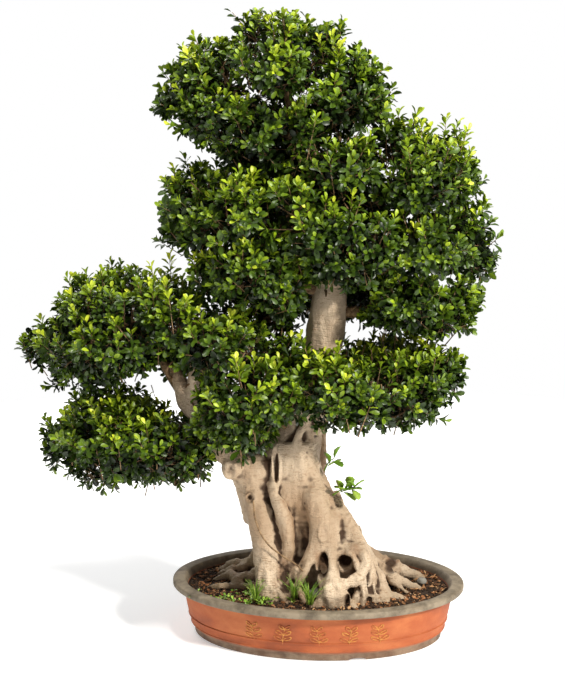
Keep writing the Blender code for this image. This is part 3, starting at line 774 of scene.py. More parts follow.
@dataclass
class Studio:
    """Camera, lights and a pale round floor under a white sky.

    The camera stands in front of the pot, a little to its right, and looks slightly down.
    """

    distance: float = 2.8
    camera_height: float = 1.08
    round_pot: float = math.radians(3.8)
    down: float = math.radians(9.95)
    aside: float = math.radians(1.48)
    lens: float = 72.82
    floor_reach: float = 2.5
    sky: float = 0.3

    def camera(self) -> None:
        """Places the camera that the scene is seen from."""
        data = bpy.data.cameras.new("camera")
        data.lens = self.lens
        data.sensor_width = 36.0
        data.clip_end = 100.0
        stand = Vector((self.distance * math.sin(self.round_pot), -self.distance * math.cos(self.round_pot),
                        self.camera_height))
        turn = self.round_pot + self.aside
        ahead = Vector((-math.sin(turn) * math.cos(self.down), math.cos(turn) * math.cos(self.down),
                        -math.sin(self.down)))
        camera = bpy.data.objects.new("camera", data)
        camera.location = stand
        camera.rotation_euler = ahead.to_track_quat("-Z", "Y").to_euler()
        bpy.context.scene.collection.objects.link(camera)
        bpy.context.scene.camera = camera

    def lamp(self, name: str, place: Point, aim: Point, power: float, size: float, warm: tuple) -> None:
        """Adds one soft square light, aimed at a point.

        Args:
            name: The light's name.
            place: Where it stands.
            aim: The point that it faces.
            power: Its power in watts.
            size: The length of its side.
            warm: Its colour.
        """
        data = bpy.data.lights.new(name, "AREA")
        data.energy, data.size, data.color = power, size, warm
        light = bpy.data.objects.new(name, data)
        light.location = place
        light.rotation_euler = (Vector(aim) - Vector(place)).to_track_quat("-Z", "Y").to_euler()
        bpy.context.scene.collection.objects.link(light)

    def lights(self) -> None:
        """Lights the tree from its upper right, with a weak fill from the left."""
        self.lamp("key", (2.8, -2.3, 2.35), (0.0, 0.0, 0.45), 220.0, 0.4, (1.0, 0.97, 0.9))
        self.lamp("top", (0.3, -0.9, 3.6), (-0.1, 0.0, 0.8), 84.0, 0.6, (1.0, 0.98, 0.92))
        self.lamp("fill", (-2.4, -2.6, 1.5), (-0.1, 0.0, 0.5), 7.0, 2.4, (0.95, 0.98, 1.0))
        self.lamp("back", (-1.8, 2.6, 2.3), (-0.9, 1.3, 0.0), 62.0, 1.6, (1.0, 1.0, 1.0))
        world = bpy.data.worlds.new("studio_white")
        world.use_nodes = True
        background = world.node_tree.nodes["Background"]
        background.inputs["Color"].default_value = (1.0, 1.0, 1.0, 1.0)
        seen = world.node_tree.nodes.new("ShaderNodeLightPath")
        strength = world.node_tree.nodes.new("ShaderNodeMapRange")
        strength.inputs["To Min"].default_value = self.sky
        strength.inputs["To Max"].default_value = 1.0
        world.node_tree.links.new(seen.outputs["Is Camera Ray"], strength.inputs["Value"])
        world.node_tree.links.new(strength.outputs["Result"], background.inputs["Strength"])
        bpy.context.scene.world = world
        bpy.context.scene.view_settings.view_transform = "Standard"

    def floor(self) -> None:
        """Lays a pale round floor."""
        deselect()
        bpy.ops.mesh.primitive_circle_add(vertices=96, radius=self.floor_reach, fill_type="NGON",
                                          location=(0.0, 0.0, -0.0006))
        floor = bpy.context.object
        floor.name = "studio_floor"
        paint = Painter("studio_paper", 0.9, 0.1)
        grain = paint.noise((2.0, 2.0, 2.0), 2.0)
        paint.colour(paint.ramp(grain, [(0.3, linear(250, 250, 250)), (0.7, linear(252, 252, 252))]))
        paint.shader.inputs["Emission Color"].default_value = (1.0, 1.0, 1.0, 1.0)
        paint.shader.inputs["Emission Strength"].default_value = 0.32
        floor.data.materials.append(paint.material)

    def build(self) -> None:
        """Sets up the whole studio."""
        self.camera()
        self.lights()
        self.floor()


# ---------------------------------------------------------------- the pot


@dataclass
class Pot:
    """Low oval clay pot with a flat rim, a raised line on its wall, an arched foot and raised sprigs."""

    rim_width: float = 0.0245
    rim_thickness: float = 0.01
    foot_height: float = 0.012
    foot_inset: float = 0.045
    foot_width: float = 0.018
    wall: float = 0.013
    floor_top: float = 0.023
    arch_width: float = 0.034
    arch_height: float = 0.0045
    segments: int = 192
    arch_aside: float = 0.09
    arch_in: float = 0.05
    drain_radius: float = 0.013
    drain_place: float = 0.12
    sprig_foot: float = 0.036
    sprig_height: float = 0.042
    line_radius: float = 0.0011
    line_out: float = 0.00015
    sprigs: tuple = (-0.113, -0.056, 0.016, 0.074, 0.134)
    finish: ClayFinish = field(default_factory=ClayFinish)
    slip: SlipFinish = field(default_factory=SlipFinish)

    def __post_init__(self) -> None:
        """Takes the pot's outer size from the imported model."""
        low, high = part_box("pot")
        self.half_length = (high[0] - low[0]) / 2
        self.half_width = (high[1] - low[1]) / 2
        self.height = high[2]

    def outside(self) -> list[tuple[float, float]]:
        """The pot's outer profile from foot to rim, as (inset, height).

        Returns:
            The profile's points.
        """
        foot, inset, under = self.foot_height, self.foot_inset, self.height - self.rim_thickness - 0.002
        body = under - foot
        shape = [(inset + 0.0012, 0.0), (inset, 0.0012), (inset - 0.0005, foot - 0.002),
                 (inset - 0.0018, foot - 0.0004),
                 (inset - 0.004, foot + 0.003), (inset - 0.006, foot + 0.0065),
                 (inset - 0.0064, foot + 0.0072),
                 (inset - 0.0082, foot + 0.0076), (inset - 0.0087, foot + 0.0088),
                 (inset - 0.0078, foot + 0.01),
                 (inset - 0.0082, foot + body * 0.16), (inset - 0.0101, foot + body * 0.25),
                 (inset - 0.0112, foot + body * 0.277), (inset - 0.0134, foot + body * 0.287),
                 (inset - 0.0138, foot + body * 0.305), (inset - 0.012, foot + body * 0.322),
                 (inset - 0.014, foot + body * 0.39), (inset - 0.0158, foot + body * 0.48),
                 (inset - 0.0178, foot + body * 0.6), (inset - 0.0193, foot + body * 0.72),
                 (inset - 0.0207, foot + body * 0.86), (inset - 0.0217, foot + body * 0.95),
                 (inset - 0.0222, under - 0.0006), (inset - 0.0232, under), (0.0034, under),
                 (0.0012, under + 0.0004),
                 (0.0002, under + 0.0016), (0.0, under + 0.003), (0.0, self.height - 0.0042),
                 (0.0004, self.height - 0.0022), (0.0016, self.height - 0.0007), (0.0034, self.height)]
        return shape

    def inside(self) -> list[tuple[float, float]]:
        """The inner profile from the rim down to the floor, as (inset, height).

        Returns:
            The profile's points.
        """
        mouth, depth, foot = self.rim_width, self.height - self.floor_top, self.foot_inset + self.wall
        return [(0.012, self.height + 0.0001), (mouth - 0.002, self.height),
                (mouth - 0.0006, self.height - 0.0006),
                (mouth + 0.001, self.height - 0.0022), (mouth + 0.006, self.height - 0.01),
                (mouth + 0.009, self.height - depth * 0.45), (mouth + 0.016, self.height - depth * 0.75),
                (foot - 0.008, self.floor_top + depth * 0.08), (foot + 0.004, self.floor_top)]

    def wall_point(self, x: float, z: float, out: float = 0.0) -> Vector:
        """A point on the front of the wall.

        Args:
            x: Its place along the pot.
            z: Its height.
            out: How far it stands out of the wall.

        Returns:
            The point.
        """
        profile = self.outside()[10:23]
        inset = profile[-1][0]
        for (low_inset, low), (high_inset, high) in zip(profile, profile[1:]):
            if low <= z <= high:
                inset = low_inset + (high_inset - low_inset) * (z - low) / (high - low)
        a, b = self.half_length - inset, self.half_width - inset
        y = -b * math.sqrt(max(0.0, 1 - (x / a) ** 2))
        normal = Vector((x / a ** 2, y / b ** 2, 0.0)).normalized()
        return Vector((x, y, z)) + normal * out

    def lofted(self) -> bpy.types.Object:
        """Lofts the pot's closed wall over oval rings, slightly uneven as hand-finished clay is.

        Returns:
            The pot's body.
        """
        edit = bmesh.new()
        rings = []
        for inset, height in self.outside() + self.inside():
            ring = []
            for step in range(self.segments):
                turn = math.tau * step / self.segments
                point = Vector(((self.half_length - inset) * math.cos(turn),
                                (self.half_width - inset) * math.sin(turn),
                                height))
                wave = noise.noise(point * 14.0) * 0.0004 + noise.noise(point * 60.0) * 0.00015
                if height > 0.002:
                    point += Vector((math.cos(turn), math.sin(turn), 0.0)) * (wave - 0.0004)
                ring.append(edit.verts.new(point))
            rings.append(ring)
        for lower, upper in zip(rings, rings[1:]):
            for step in range(self.segments):
                after = (step + 1) % self.segments
                edit.faces.new((lower[step], lower[after], upper[after], upper[step]))
        edit.faces.new(rings[-1])
        foot_inner = self.foot_inset + self.foot_width
        under = []
        for inset, height in ((foot_inner - 0.001, 0.0), (foot_inner, 0.001),
                              (foot_inner + 0.002, self.foot_height)):
            under.append([edit.verts.new(((self.half_length - inset) * math.cos(math.tau * s / self.segments),
                                          (self.half_width - inset) * math.sin(math.tau * s / self.segments),
                                          height))
                          for s in range(self.segments)])
        loops = [rings[0]] + under
        for lower, upper in zip(loops, loops[1:]):
            for step in range(self.segments):
                after = (step + 1) % self.segments
                edit.faces.new((lower[after], lower[step], upper[step], upper[after]))
        edit.faces.new(list(reversed(under[-1])))
        return closed(edit, "pot_body")

    def cut(self, pot: bpy.types.Object, cutter: bpy.types.Object) -> None:
        """Cuts a shape out of the pot and removes the cutter.

        Args:
            pot: The pot's body.
            cutter: The shape that is cut out of it.
        """
        modifier = pot.modifiers.new("cut", "BOOLEAN")
        modifier.operation, modifier.solver, modifier.object = "DIFFERENCE", "EXACT", cutter
        modifier.use_self = True
        apply_modifiers(pot)
        bpy.data.objects.remove(cutter, do_unlink=True)

    def arches(self) -> list[bpy.types.Object]:
        """Cutters for the shallow arches under the foot, front, back and ends.

        Returns:
            The cutters.
        """
        cutters = []
        for place in ((self.arch_aside, -self.half_width + self.arch_in, 0.0),
                      (-self.arch_aside, self.half_width - self.arch_in, math.pi),
                      (self.half_length - self.arch_in, 0.0, math.pi / 2),
                      (-self.half_length + self.arch_in, 0.0, math.pi / 2)):
            deselect()
            bpy.ops.mesh.primitive_cylinder_add(vertices=32, radius=1.0, depth=0.06,
                                                location=(place[0], place[1], 0.0),
                                                rotation=(math.pi / 2, 0.0, place[2]))
            cutter = bpy.context.object
            cutter.scale = (self.arch_width / 2, self.arch_height, 1.0)
            bpy.ops.object.transform_apply(location=True, rotation=True, scale=True)
            cutters.append(cutter)
        return cutters

    def strokes(self, middle: float, lean: float) -> list[list[tuple[float, float]]]:
        """The strokes of one leafy sprig, drawn flat about its middle.

        Args:
            middle: The sprig's place along the pot.
            lean: How far its tip leans to one side.

        Returns:
            Strokes as lists of (x, z).
        """
        low, tall = self.sprig_foot, self.sprig_height
        stem = [(middle + lean * t * t * 0.008, low + tall * t) for t in (0.0, 0.3, 0.6, 0.85)]
        drawn = [stem]
        for t, side, reach in ((0.18, 1, 0.017), (0.18, -1, 0.017), (0.48, 1, 0.015), (0.48, -1, 0.015),
                               (0.76, 1, 0.011), (0.76, -1, 0.011)):
            x, z = middle + lean * t * t * 0.008, low + tall * t
            tip = (x + side * reach, z + 0.0075)
            drawn.append([(x, z), (x + side * reach * 0.35, z + 0.0058),
                          (tip[0] - side * 0.002, tip[1] + 0.001), tip,
                          (x + side * reach * 0.7, z + 0.0018), (x, z)])
        return drawn

    def ornament(self, radius: float, out: float) -> bpy.types.Object:
        """All the sprigs' strokes as fine tubes that lie along the wall.

        Args:
            radius: The tubes' radius.
            out: How far their middles stand out of the wall.

        Returns:
            The joined tubes.
        """
        tubes = []
        for number, middle in enumerate(self.sprigs):
            for stroke in self.strokes(middle, 1.0 if number % 2 else -1.0):
                knots = []
                for x, z in stroke:
                    point = self.wall_point(x, z, out)
                    knots.append((point.x, point.y, point.z, radius))
                tubes.append(tube(knots, sides=1, steps=3))
        return join(tubes, "pot_ornament")

    def build(self) -> None:
        """Builds and dresses the pot, its ornament and the drain meshes."""
        pot = self.lofted()
        for cutter in self.arches():
            self.cut(pot, cutter)
        for side in (-1, 1):
            deselect()
            bpy.ops.mesh.primitive_cylinder_add(vertices=40, radius=self.drain_radius, depth=0.05,
                                                location=(side * self.drain_place, 0.0, 0.02))
            cutter = bpy.context.object
            bpy.ops.object.transform_apply(location=True, rotation=True, scale=True)
            self.cut(pot, cutter)
        weld(pot, 0.00002)
        points = per_point(pot.data, "co")
        # Painted shade: marks the inner wall above the floor for the clay to darken.
        slope = np.clip((self.height - points[:, 2]) / (self.height - self.floor_top), 0, 1)
        middle = self.rim_width + 0.0022 + slope * (self.foot_inset + self.wall * 0.55 - self.rim_width)
        edge = 1 - np.hypot(points[:, 0] / (self.half_length - middle),
                            points[:, 1] / (self.half_width - middle))
        values = np.clip(edge * 90, 0, 1) * (points[:, 2] > self.floor_top - 0.001)
        carry(pot.data, "inside", values)
        smooth(pot, 40.0)
        settle(pot, Slot.CLAY, self.finish.material(), "pot")
        lines = self.ornament(self.line_radius, self.line_out)
        smooth(lines, 60.0)
        settle(lines, Slot.CLAY, self.slip.material())
        plastic = PlasticFinish().material()
        for node in ("drain_mesh_left", "drain_mesh_right"):
            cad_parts[node].data.materials.clear()
            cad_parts[node].data.materials.append(plastic)


# ---------------------------------------------------------------- the soil


@dataclass
class Ground:
    """Soil that mounds a little to the tree, with grit, bark chips and fallen litter."""

    level: float = 0.098
    mound: float = 0.008
    rings: int = 46
    sectors: int = 150
    chips: int = 3600
    crumbs: int = 5200
    litter: int = 240
    seed: int = 11
    soil: GrainFinish = field(default_factory=lambda: GrainFinish(
        "soil", (linear(34, 26, 20), linear(54, 41, 30), linear(84, 62, 42)), 0.95, 500.0, 0.0015))
    bark: GrainFinish = field(default_factory=lambda: GrainFinish(
        "bark_chips", (linear(44, 32, 24), linear(88, 58, 36), linear(142, 92, 56),
                       linear(176, 138, 98)), 0.85))

    def __post_init__(self) -> None:
        """Takes the soil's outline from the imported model."""
        low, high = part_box("soil")
        self.low, self.high = low[2], high[2]
        self.half_length = (high[0] - low[0]) / 2
        self.half_width = (high[1] - low[1]) / 2
        self.random = random.Random(self.seed)

    def rise(self, x: float, y: float) -> float:
        """The soil's height at a place.

        Args:
            x: The place along the pot.
            y: The place across it.

        Returns:
            The height.
        """
        out = min(1.0, math.hypot(x / self.half_length, y / self.half_width))
        lump = noise.noise((x * 22, y * 22, 1.0)) * 0.003 + noise.noise((x * 75, y * 75, 4.0)) * 0.0016
        fine = noise.noise((x * 210, y * 210, 7.0)) * 0.0011
        return self.level - 0.0018 + self.mound * (1 - out) ** 0.8 * 0.8 + (lump + fine) * (1 - out ** 6)

    def bed(self) -> bpy.types.Object:
        """The soil itself: a lumpy top on a closed oval block.

        Returns:
            The soil's own piece.
        """
        edit = bmesh.new()
        rings, sectors = self.rings, self.sectors
        top = []
        for ring in range(1, rings + 1):
            share = (ring / rings) ** 0.85
            row = []
            for step in range(sectors):
                turn = math.tau * step / sectors
                x = (self.half_length - 0.0006) * share * math.cos(turn)
                y = (self.half_width - 0.0006) * share * math.sin(turn)
                row.append(edit.verts.new((x, y, self.rise(x, y))))
            top.append(row)
        centre = edit.verts.new((0.0, 0.0, self.rise(0.0, 0.0)))
        for step in range(sectors):
            edit.faces.new((centre, top[0][step], top[0][(step + 1) % sectors]))
        for inner, outer in zip(top, top[1:]):
            for step in range(sectors):
                after = (step + 1) % sectors
                edit.faces.new((inner[step], outer[step], outer[after], inner[after]))
        foot = []
        for step in range(sectors):
            turn = math.tau * step / sectors
            foot.append(edit.verts.new(((self.half_length - 0.022) * math.cos(turn),
                                        (self.half_width - 0.022) * math.sin(turn), self.low + 0.012)))
        for step in range(sectors):
            after = (step + 1) % sectors
            edit.faces.new((top[-1][step], foot[step], foot[after], top[-1][after]))
        edit.faces.new(list(reversed(foot)))
        bed = closed(edit, "soil_bed")
        carry(bed.data, "tint", [0.25 + 0.35 * noise.noise(v.co * 40.0) for v in bed.data.vertices])
        smooth(bed, 60.0)
        return bed

    def spot(self) -> tuple[float, float]:
        """A random place on the soil."""
        out, turn = math.sqrt(self.random.random()) * 0.985, self.random.uniform(0, math.tau)
        return self.half_length * out * math.cos(turn), self.half_width * out * math.sin(turn)

    def scatter(self, name: str, shapes: list[np.ndarray], faces: np.ndarray, number: int,
                size: tuple[float, float],
                flat: float, sink: float) -> bpy.types.Object:
        """Strews copies of small shapes over the soil, each with its own mesh, turn and tint.

        Args:
            name: The piece's name.
            shapes: Point arrays of the small shapes.
            faces: The triangles that they share.
            number: How many are strewn.
            size: The smallest and largest size.
            flat: How far they tip out of level, in radians.
            sink: How far they sit in the soil, as a share of their height.

        Returns:
            The piece.
        """
        points, all_faces, tints = [], [], []
        for index in range(number):
            x, y = self.spot()
            scale = size[0] + (size[1] - size[0]) * self.random.random() ** 2
            turn = Matrix.Rotation(self.random.uniform(0, math.tau), 3, "Z") @ Matrix.Rotation(
                self.random.gauss(0, flat), 3, "X") @ Matrix.Rotation(self.random.gauss(0, flat), 3, "Y")
            shape = shapes[self.random.randrange(len(shapes))] @ np.array(turn).T * scale
            shape = shape + np.array((x, y, self.rise(x, y) + shape[:, 2].max() * (1 - sink)))
            points.append(shape)
            all_faces.append(faces + index * len(shape))
            tints.append(np.full(len(shape), self.random.random() ** 1.5))
        mesh = mesh_from_arrays(name, np.concatenate(points), np.concatenate(all_faces), False)
        carry(mesh, "tint", np.concatenate(tints))
        return new_piece(name, mesh)

    def lumps(self, stretch: Point, count: int) -> tuple[list[np.ndarray], np.ndarray]:
        """Small angular shapes made from a twenty-sided ball.

        Args:
            stretch: Their size along each axis.
            count: How many different ones are made.

        Returns:
            Their point arrays and the triangles that they share.
        """
        deselect()
        bpy.ops.mesh.primitive_ico_sphere_add(subdivisions=1, radius=0.5)
        ball = bpy.context.object
        base = np.array([v.co[:] for v in ball.data.vertices])
        faces = np.array([list(p.vertices) for p in ball.data.polygons])
        bpy.data.objects.remove(ball, do_unlink=True)
        shapes = []
        for _ in range(count):
            push = np.array([[self.random.uniform(0.72, 1.25)] for _ in base])
            shapes.append(base * push * np.array(stretch))
        return shapes, faces

    def build(self) -> None:
        """Builds and dresses the soil and all that lies on it."""
        bed = self.bed()
        settle(bed, Slot.SOIL, self.soil.material(), "soil")
        bark = self.bark.material()
        shapes, faces = self.lumps((1.0, 0.62, 0.34), 9)
        settle(self.scatter("bark_chips", shapes, faces, self.chips, (0.003, 0.013), 0.35, 0.35), Slot.SOIL,
               bark)
        shapes, faces = self.lumps((1.0, 0.85, 0.75), 6)
        settle(self.scatter("soil_crumbs", shapes, faces, self.crumbs, (0.0018, 0.005), 0.9, 0.2), Slot.SOIL,
               self.soil.material())
        shapes, faces = self.lumps((1.0, 0.1, 0.08), 5)
        settle(self.scatter("twig_litter", shapes, faces, self.litter, (0.012, 0.034), 0.1, 0.0), Slot.SOIL,
               bark)


# ---------------------------------------------------------------- the wood


@dataclass(frozen=True)
class Hollow:
    """A hole or dent in the trunk: where it is, how wide and high, how deep it goes, and its rim's height."""

    place: Point
    wide: float
    high: float
    depth: float
    rim: float = 0.0


@dataclass
class Wood:
    """The trunk with its fused roots, the roots over the soil, the branches and their twigs."""

    voxel: float = 0.0031
    seed: int = 5
    finish: BarkFinish = field(default_factory=BarkFinish)
    twig: TwigFinish = field(default_factory=TwigFinish)
    strands: list = field(default_factory=lambda: [
        [(-0.025, 0.0, 0.063, 0.066), (-0.033, 0.005, 0.115, 0.074), (-0.038, 0.01, 0.168, 0.073),
         (-0.055, 0.01, 0.22, 0.073), (-0.063, 0.01, 0.273, 0.079), (-0.063, 0.01, 0.325, 0.078),
         (-0.055, 0.01, 0.368, 0.06), (-0.043, 0.01, 0.4, 0.05), (-0.033, 0.01, 0.433, 0.042),
         (-0.023, 0.01, 0.485, 0.04), (-0.013, 0.01, 0.535, 0.039), (0.006, 0.01, 0.578, 0.039),
         (0.015, 0.01, 0.628, 0.04), (0.02, 0.01, 0.68, 0.038), (0.023, 0.015, 0.73, 0.033),
         (0.035, 0.02, 0.788, 0.027), (0.03, 0.02, 0.86, 0.022), (0.0, 0.01, 0.95, 0.018)],
        [(-0.113, -0.03, 0.24, 0.036), (-0.12, -0.03, 0.293, 0.041), (-0.13, -0.025, 0.333, 0.044),
         (-0.158, -0.02, 0.368, 0.038), (-0.188, -0.02, 0.39, 0.028), (-0.218, -0.022, 0.425, 0.022),
         (-0.243, -0.024, 0.455, 0.021), (-0.263, -0.024, 0.48, 0.019), (-0.276, -0.02, 0.51, 0.016),
         (-0.292, -0.01, 0.55, 0.012)],
        [(-0.232, -0.024, 0.44, 0.016), (-0.248, -0.034, 0.48, 0.016), (-0.246, -0.036, 0.52, 0.014),
         (-0.24, -0.03, 0.57, 0.011)],
        [(-0.158, -0.04, 0.36, 0.028), (-0.17, -0.05, 0.35, 0.022), (-0.175, -0.055, 0.333, 0.013)]])
    fused: list = field(default_factory=lambda: [
        [(-0.118, -0.055, 0.3, 0.024), (-0.108, -0.065, 0.253, 0.028), (-0.1, -0.075, 0.203, 0.029),
         (-0.095, -0.085, 0.155, 0.028), (-0.09, -0.095, 0.095, 0.026), (-0.093, -0.1, 0.07, 0.022)],
        [(-0.088, -0.072, 0.315, 0.009), (-0.075, -0.081, 0.288, 0.013), (-0.06, -0.08, 0.253, 0.017),
         (-0.055, -0.076, 0.203, 0.017), (-0.06, -0.068, 0.148, 0.018), (-0.055, -0.058, 0.078, 0.018)],
        [(-0.008, -0.055, 0.303, 0.024), (0.005, -0.067, 0.265, 0.025), (0.005, -0.073, 0.215, 0.019),
         (-0.018, -0.079, 0.175, 0.014), (-0.043, -0.084, 0.143, 0.013), (-0.058, -0.084, 0.108, 0.012),
         (-0.063, -0.084, 0.08, 0.011)],
        [(0.025, -0.05, 0.25, 0.026), (0.03, -0.065, 0.21, 0.018), (0.03, -0.08, 0.18, 0.012),
         (0.035, -0.1, 0.153, 0.013), (0.04, -0.118, 0.125, 0.024), (0.038, -0.117, 0.1, 0.026),
         (0.038, -0.105, 0.078, 0.024)],
        [(0.055, -0.055, 0.2, 0.012), (0.083, -0.07, 0.195, 0.01), (0.103, -0.085, 0.178, 0.01),
         (0.095, -0.1, 0.153, 0.01), (0.068, -0.11, 0.14, 0.01), (0.043, -0.118, 0.133, 0.012)],
        [(0.048, -0.03, 0.263, 0.018), (0.073, -0.04, 0.22, 0.019), (0.098, -0.055, 0.188, 0.014),
         (0.11, -0.065, 0.153, 0.012), (0.118, -0.065, 0.11, 0.011), (0.123, -0.073, 0.08, 0.011)],
        [(0.103, -0.085, 0.18, 0.009), (0.092, -0.08, 0.13, 0.01), (0.085, -0.105, 0.105, 0.01),
         (0.076, -0.11, 0.078, 0.01)],
        [(0.096, -0.098, 0.148, 0.009), (0.105, -0.095, 0.112, 0.009), (0.11, -0.105, 0.08, 0.009)]])
    surface: list = field(default_factory=lambda: [
        [(-0.005, 0.01, 0.293, 0.027), (0.025, 0.015, 0.23, 0.029), (0.048, 0.02, 0.198, 0.029),
         (0.073, 0.03, 0.163, 0.028), (0.108, 0.035, 0.138, 0.026), (0.14, 0.028, 0.128, 0.021),
         (0.172, 0.045, 0.117, 0.015), (0.202, 0.058, 0.103, 0.011), (0.226, 0.066, 0.082, 0.01)],
        [(0.11, 0.025, 0.145, 0.02), (0.14, 0.005, 0.12, 0.014), (0.17, 0.01, 0.105, 0.012),
         (0.18, -0.01, 0.08, 0.011)],
        [(0.105, -0.02, 0.16, 0.02), (0.125, -0.028, 0.12, 0.015), (0.143, -0.06, 0.104, 0.011),
         (0.175, -0.07, 0.096, 0.01), (0.205, -0.06, 0.08, 0.01)],
        [(0.12, -0.04, 0.118, 0.014), (0.14, -0.085, 0.098, 0.012), (0.155, -0.095, 0.078, 0.01)],
        [(-0.04, 0.05, 0.16, 0.044), (-0.01, 0.09, 0.135, 0.03), (0.02, 0.125, 0.105, 0.018),
         (0.045, 0.14, 0.078, 0.014)],
        [(-0.085, 0.03, 0.17, 0.04), (-0.11, 0.06, 0.13, 0.026), (-0.125, 0.105, 0.1, 0.015),
         (-0.12, 0.135, 0.078, 0.012)],
        [(-0.1, 0.01, 0.165, 0.028), (-0.145, 0.05, 0.122, 0.014), (-0.198, 0.066, 0.106, 0.01),
         (-0.226, 0.068, 0.086, 0.007)],
        [(-0.1, -0.01, 0.118, 0.016), (-0.148, -0.002, 0.108, 0.012), (-0.175, 0.012, 0.104, 0.011),
         (-0.213, 0.022, 0.086, 0.008)],
        [(-0.1, -0.06, 0.108, 0.012), (-0.155, -0.042, 0.104, 0.01), (-0.2, -0.046, 0.103, 0.008),
         (-0.238, -0.03, 0.086, 0.006)],
        [(-0.11, 0.0, 0.13, 0.012), (-0.14, -0.02, 0.116, 0.01), (-0.165, -0.014, 0.112, 0.011),
         (-0.19, 0.008, 0.108, 0.008), (-0.226, 0.004, 0.088, 0.006)],
        [(-0.15, 0.04, 0.118, 0.01), (-0.176, 0.034, 0.112, 0.009), (-0.2, 0.044, 0.104, 0.007),
         (-0.232, 0.04, 0.086, 0.005)],
        [(-0.158, -0.042, 0.106, 0.009), (-0.172, -0.02, 0.112, 0.01), (-0.182, 0.01, 0.112, 0.009),
         (-0.19, 0.04, 0.104, 0.007)]])
    bodies: list = field(default_factory=lambda: [
        [(-0.044, -0.004, 0.4, 0.046), (-0.044, -0.012, 0.35, 0.053), (-0.032, -0.016, 0.305, 0.053),
         (-0.006, -0.022, 0.262, 0.05), (0.022, -0.024, 0.215, 0.05), (0.046, -0.03, 0.17, 0.042),
         (0.056, -0.03, 0.115, 0.036), (0.056, -0.03, 0.08, 0.034)],
        [(-0.128, -0.022, 0.345, 0.04), (-0.114, -0.02, 0.3, 0.044), (-0.098, -0.018, 0.25, 0.046),
         (-0.086, -0.016, 0.2, 0.046), (-0.078, -0.016, 0.15, 0.044), (-0.078, -0.016, 0.09, 0.044)]])
    ridges: list = field(default_factory=lambda: [
        [(-0.138, -0.056, 0.335, 0.007), (-0.13, -0.064, 0.29, 0.01), (-0.124, -0.066, 0.245, 0.01),
         (-0.116, -0.072, 0.19, 0.01), (-0.112, -0.086, 0.13, 0.009), (-0.12, -0.098, 0.085, 0.008)],
        [(-0.01, -0.07, 0.245, 0.006), (-0.006, -0.076, 0.215, 0.009), (0.004, -0.08, 0.185, 0.009),
         (0.022, -0.086, 0.15, 0.008)],
        [(0.08, -0.02, 0.2, 0.008), (0.098, -0.02, 0.175, 0.009), (0.124, -0.012, 0.15, 0.01),
         (0.15, -0.02, 0.128, 0.01), (0.178, -0.018, 0.112, 0.008), (0.208, -0.008, 0.098, 0.007),
         (0.222, 0.002, 0.084, 0.007)],
        [(-0.078, -0.092, 0.125, 0.01), (-0.058, -0.108, 0.104, 0.01), (-0.04, -0.12, 0.085, 0.009)],
        [(0.07, -0.05, 0.215, 0.006), (0.094, -0.068, 0.18, 0.007), (0.112, -0.08, 0.14, 0.007),
         (0.122, -0.094, 0.104, 0.008), (0.13, -0.102, 0.082, 0.006)],
        [(0.06, -0.066, 0.2, 0.005), (0.088, -0.09, 0.165, 0.006), (0.098, -0.108, 0.125, 0.006),
         (0.1, -0.12, 0.088, 0.006)],
        [(0.096, -0.034, 0.19, 0.006), (0.122, -0.046, 0.15, 0.007), (0.14, -0.06, 0.116, 0.007),
         (0.158, -0.074, 0.088, 0.006)],
        [(0.1, -0.01, 0.185, 0.006), (0.13, -0.016, 0.15, 0.007), (0.158, -0.03, 0.12, 0.007),
         (0.186, -0.044, 0.1, 0.006), (0.2, -0.048, 0.086, 0.005)],
        [(0.048, -0.114, 0.13, 0.007), (0.056, -0.128, 0.108, 0.007), (0.06, -0.136, 0.086, 0.006)],
        [(0.026, -0.116, 0.13, 0.007), (0.018, -0.13, 0.108, 0.008), (0.012, -0.138, 0.084, 0.006)],
        [(-0.048, -0.08, 0.15, 0.006), (-0.036, -0.094, 0.125, 0.007), (-0.022, -0.106, 0.104, 0.007),
         (-0.012, -0.114, 0.086, 0.006)],
        [(0.01, -0.078, 0.21, 0.005), (-0.006, -0.09, 0.18, 0.007), (-0.022, -0.096, 0.155, 0.008),
         (-0.04, -0.1, 0.125, 0.008), (-0.05, -0.104, 0.09, 0.007)],
        [(0.056, -0.112, 0.112, 0.012), (0.076, -0.126, 0.098, 0.01), (0.094, -0.133, 0.082, 0.009)],
        [(0.02, -0.12, 0.112, 0.012), (0.004, -0.13, 0.098, 0.01), (-0.01, -0.134, 0.082, 0.009)],
        [(-0.01, 0.07, 0.32, 0.012), (-0.02, 0.08, 0.23, 0.018), (-0.035, 0.09, 0.165, 0.02),
         (-0.05, 0.11, 0.11, 0.016), (-0.055, 0.125, 0.082, 0.012)],
        [(-0.09, 0.07, 0.33, 0.012), (-0.095, 0.08, 0.24, 0.018), (-0.09, 0.088, 0.17, 0.017),
         (-0.095, 0.1, 0.115, 0.012), (-0.095, 0.115, 0.082, 0.01)],
        [(0.005, 0.05, 0.31, 0.01), (0.036, 0.065, 0.22, 0.016), (0.06, 0.08, 0.16, 0.016),
         (0.085, 0.1, 0.115, 0.012), (0.105, 0.11, 0.084, 0.01)],
        [(0.01, 0.045, 0.48, 0.006), (0.004, 0.046, 0.42, 0.011), (0.0, 0.06, 0.36, 0.013),
         (-0.004, 0.075, 0.3, 0.012)],
        [(-0.03, -0.034, 0.44, 0.006), (-0.04, -0.042, 0.41, 0.009), (-0.03, -0.052, 0.37, 0.01),
         (-0.024, -0.06, 0.33, 0.008)],
        [(0.03, -0.02, 0.56, 0.006), (0.022, -0.022, 0.52, 0.01), (0.01, -0.024, 0.47, 0.012),
         (0.004, -0.024, 0.42, 0.01)]])
    aerial: list = field(default_factory=lambda: [
        (-0.122, -0.098, 0.3, 0.0018), (-0.116, -0.107, 0.262, 0.0019), (-0.095, -0.114, 0.222, 0.0018),
        (-0.062, -0.105, 0.19, 0.0017), (-0.035, -0.102, 0.172, 0.0016), (-0.02, -0.104, 0.158, 0.0015)])
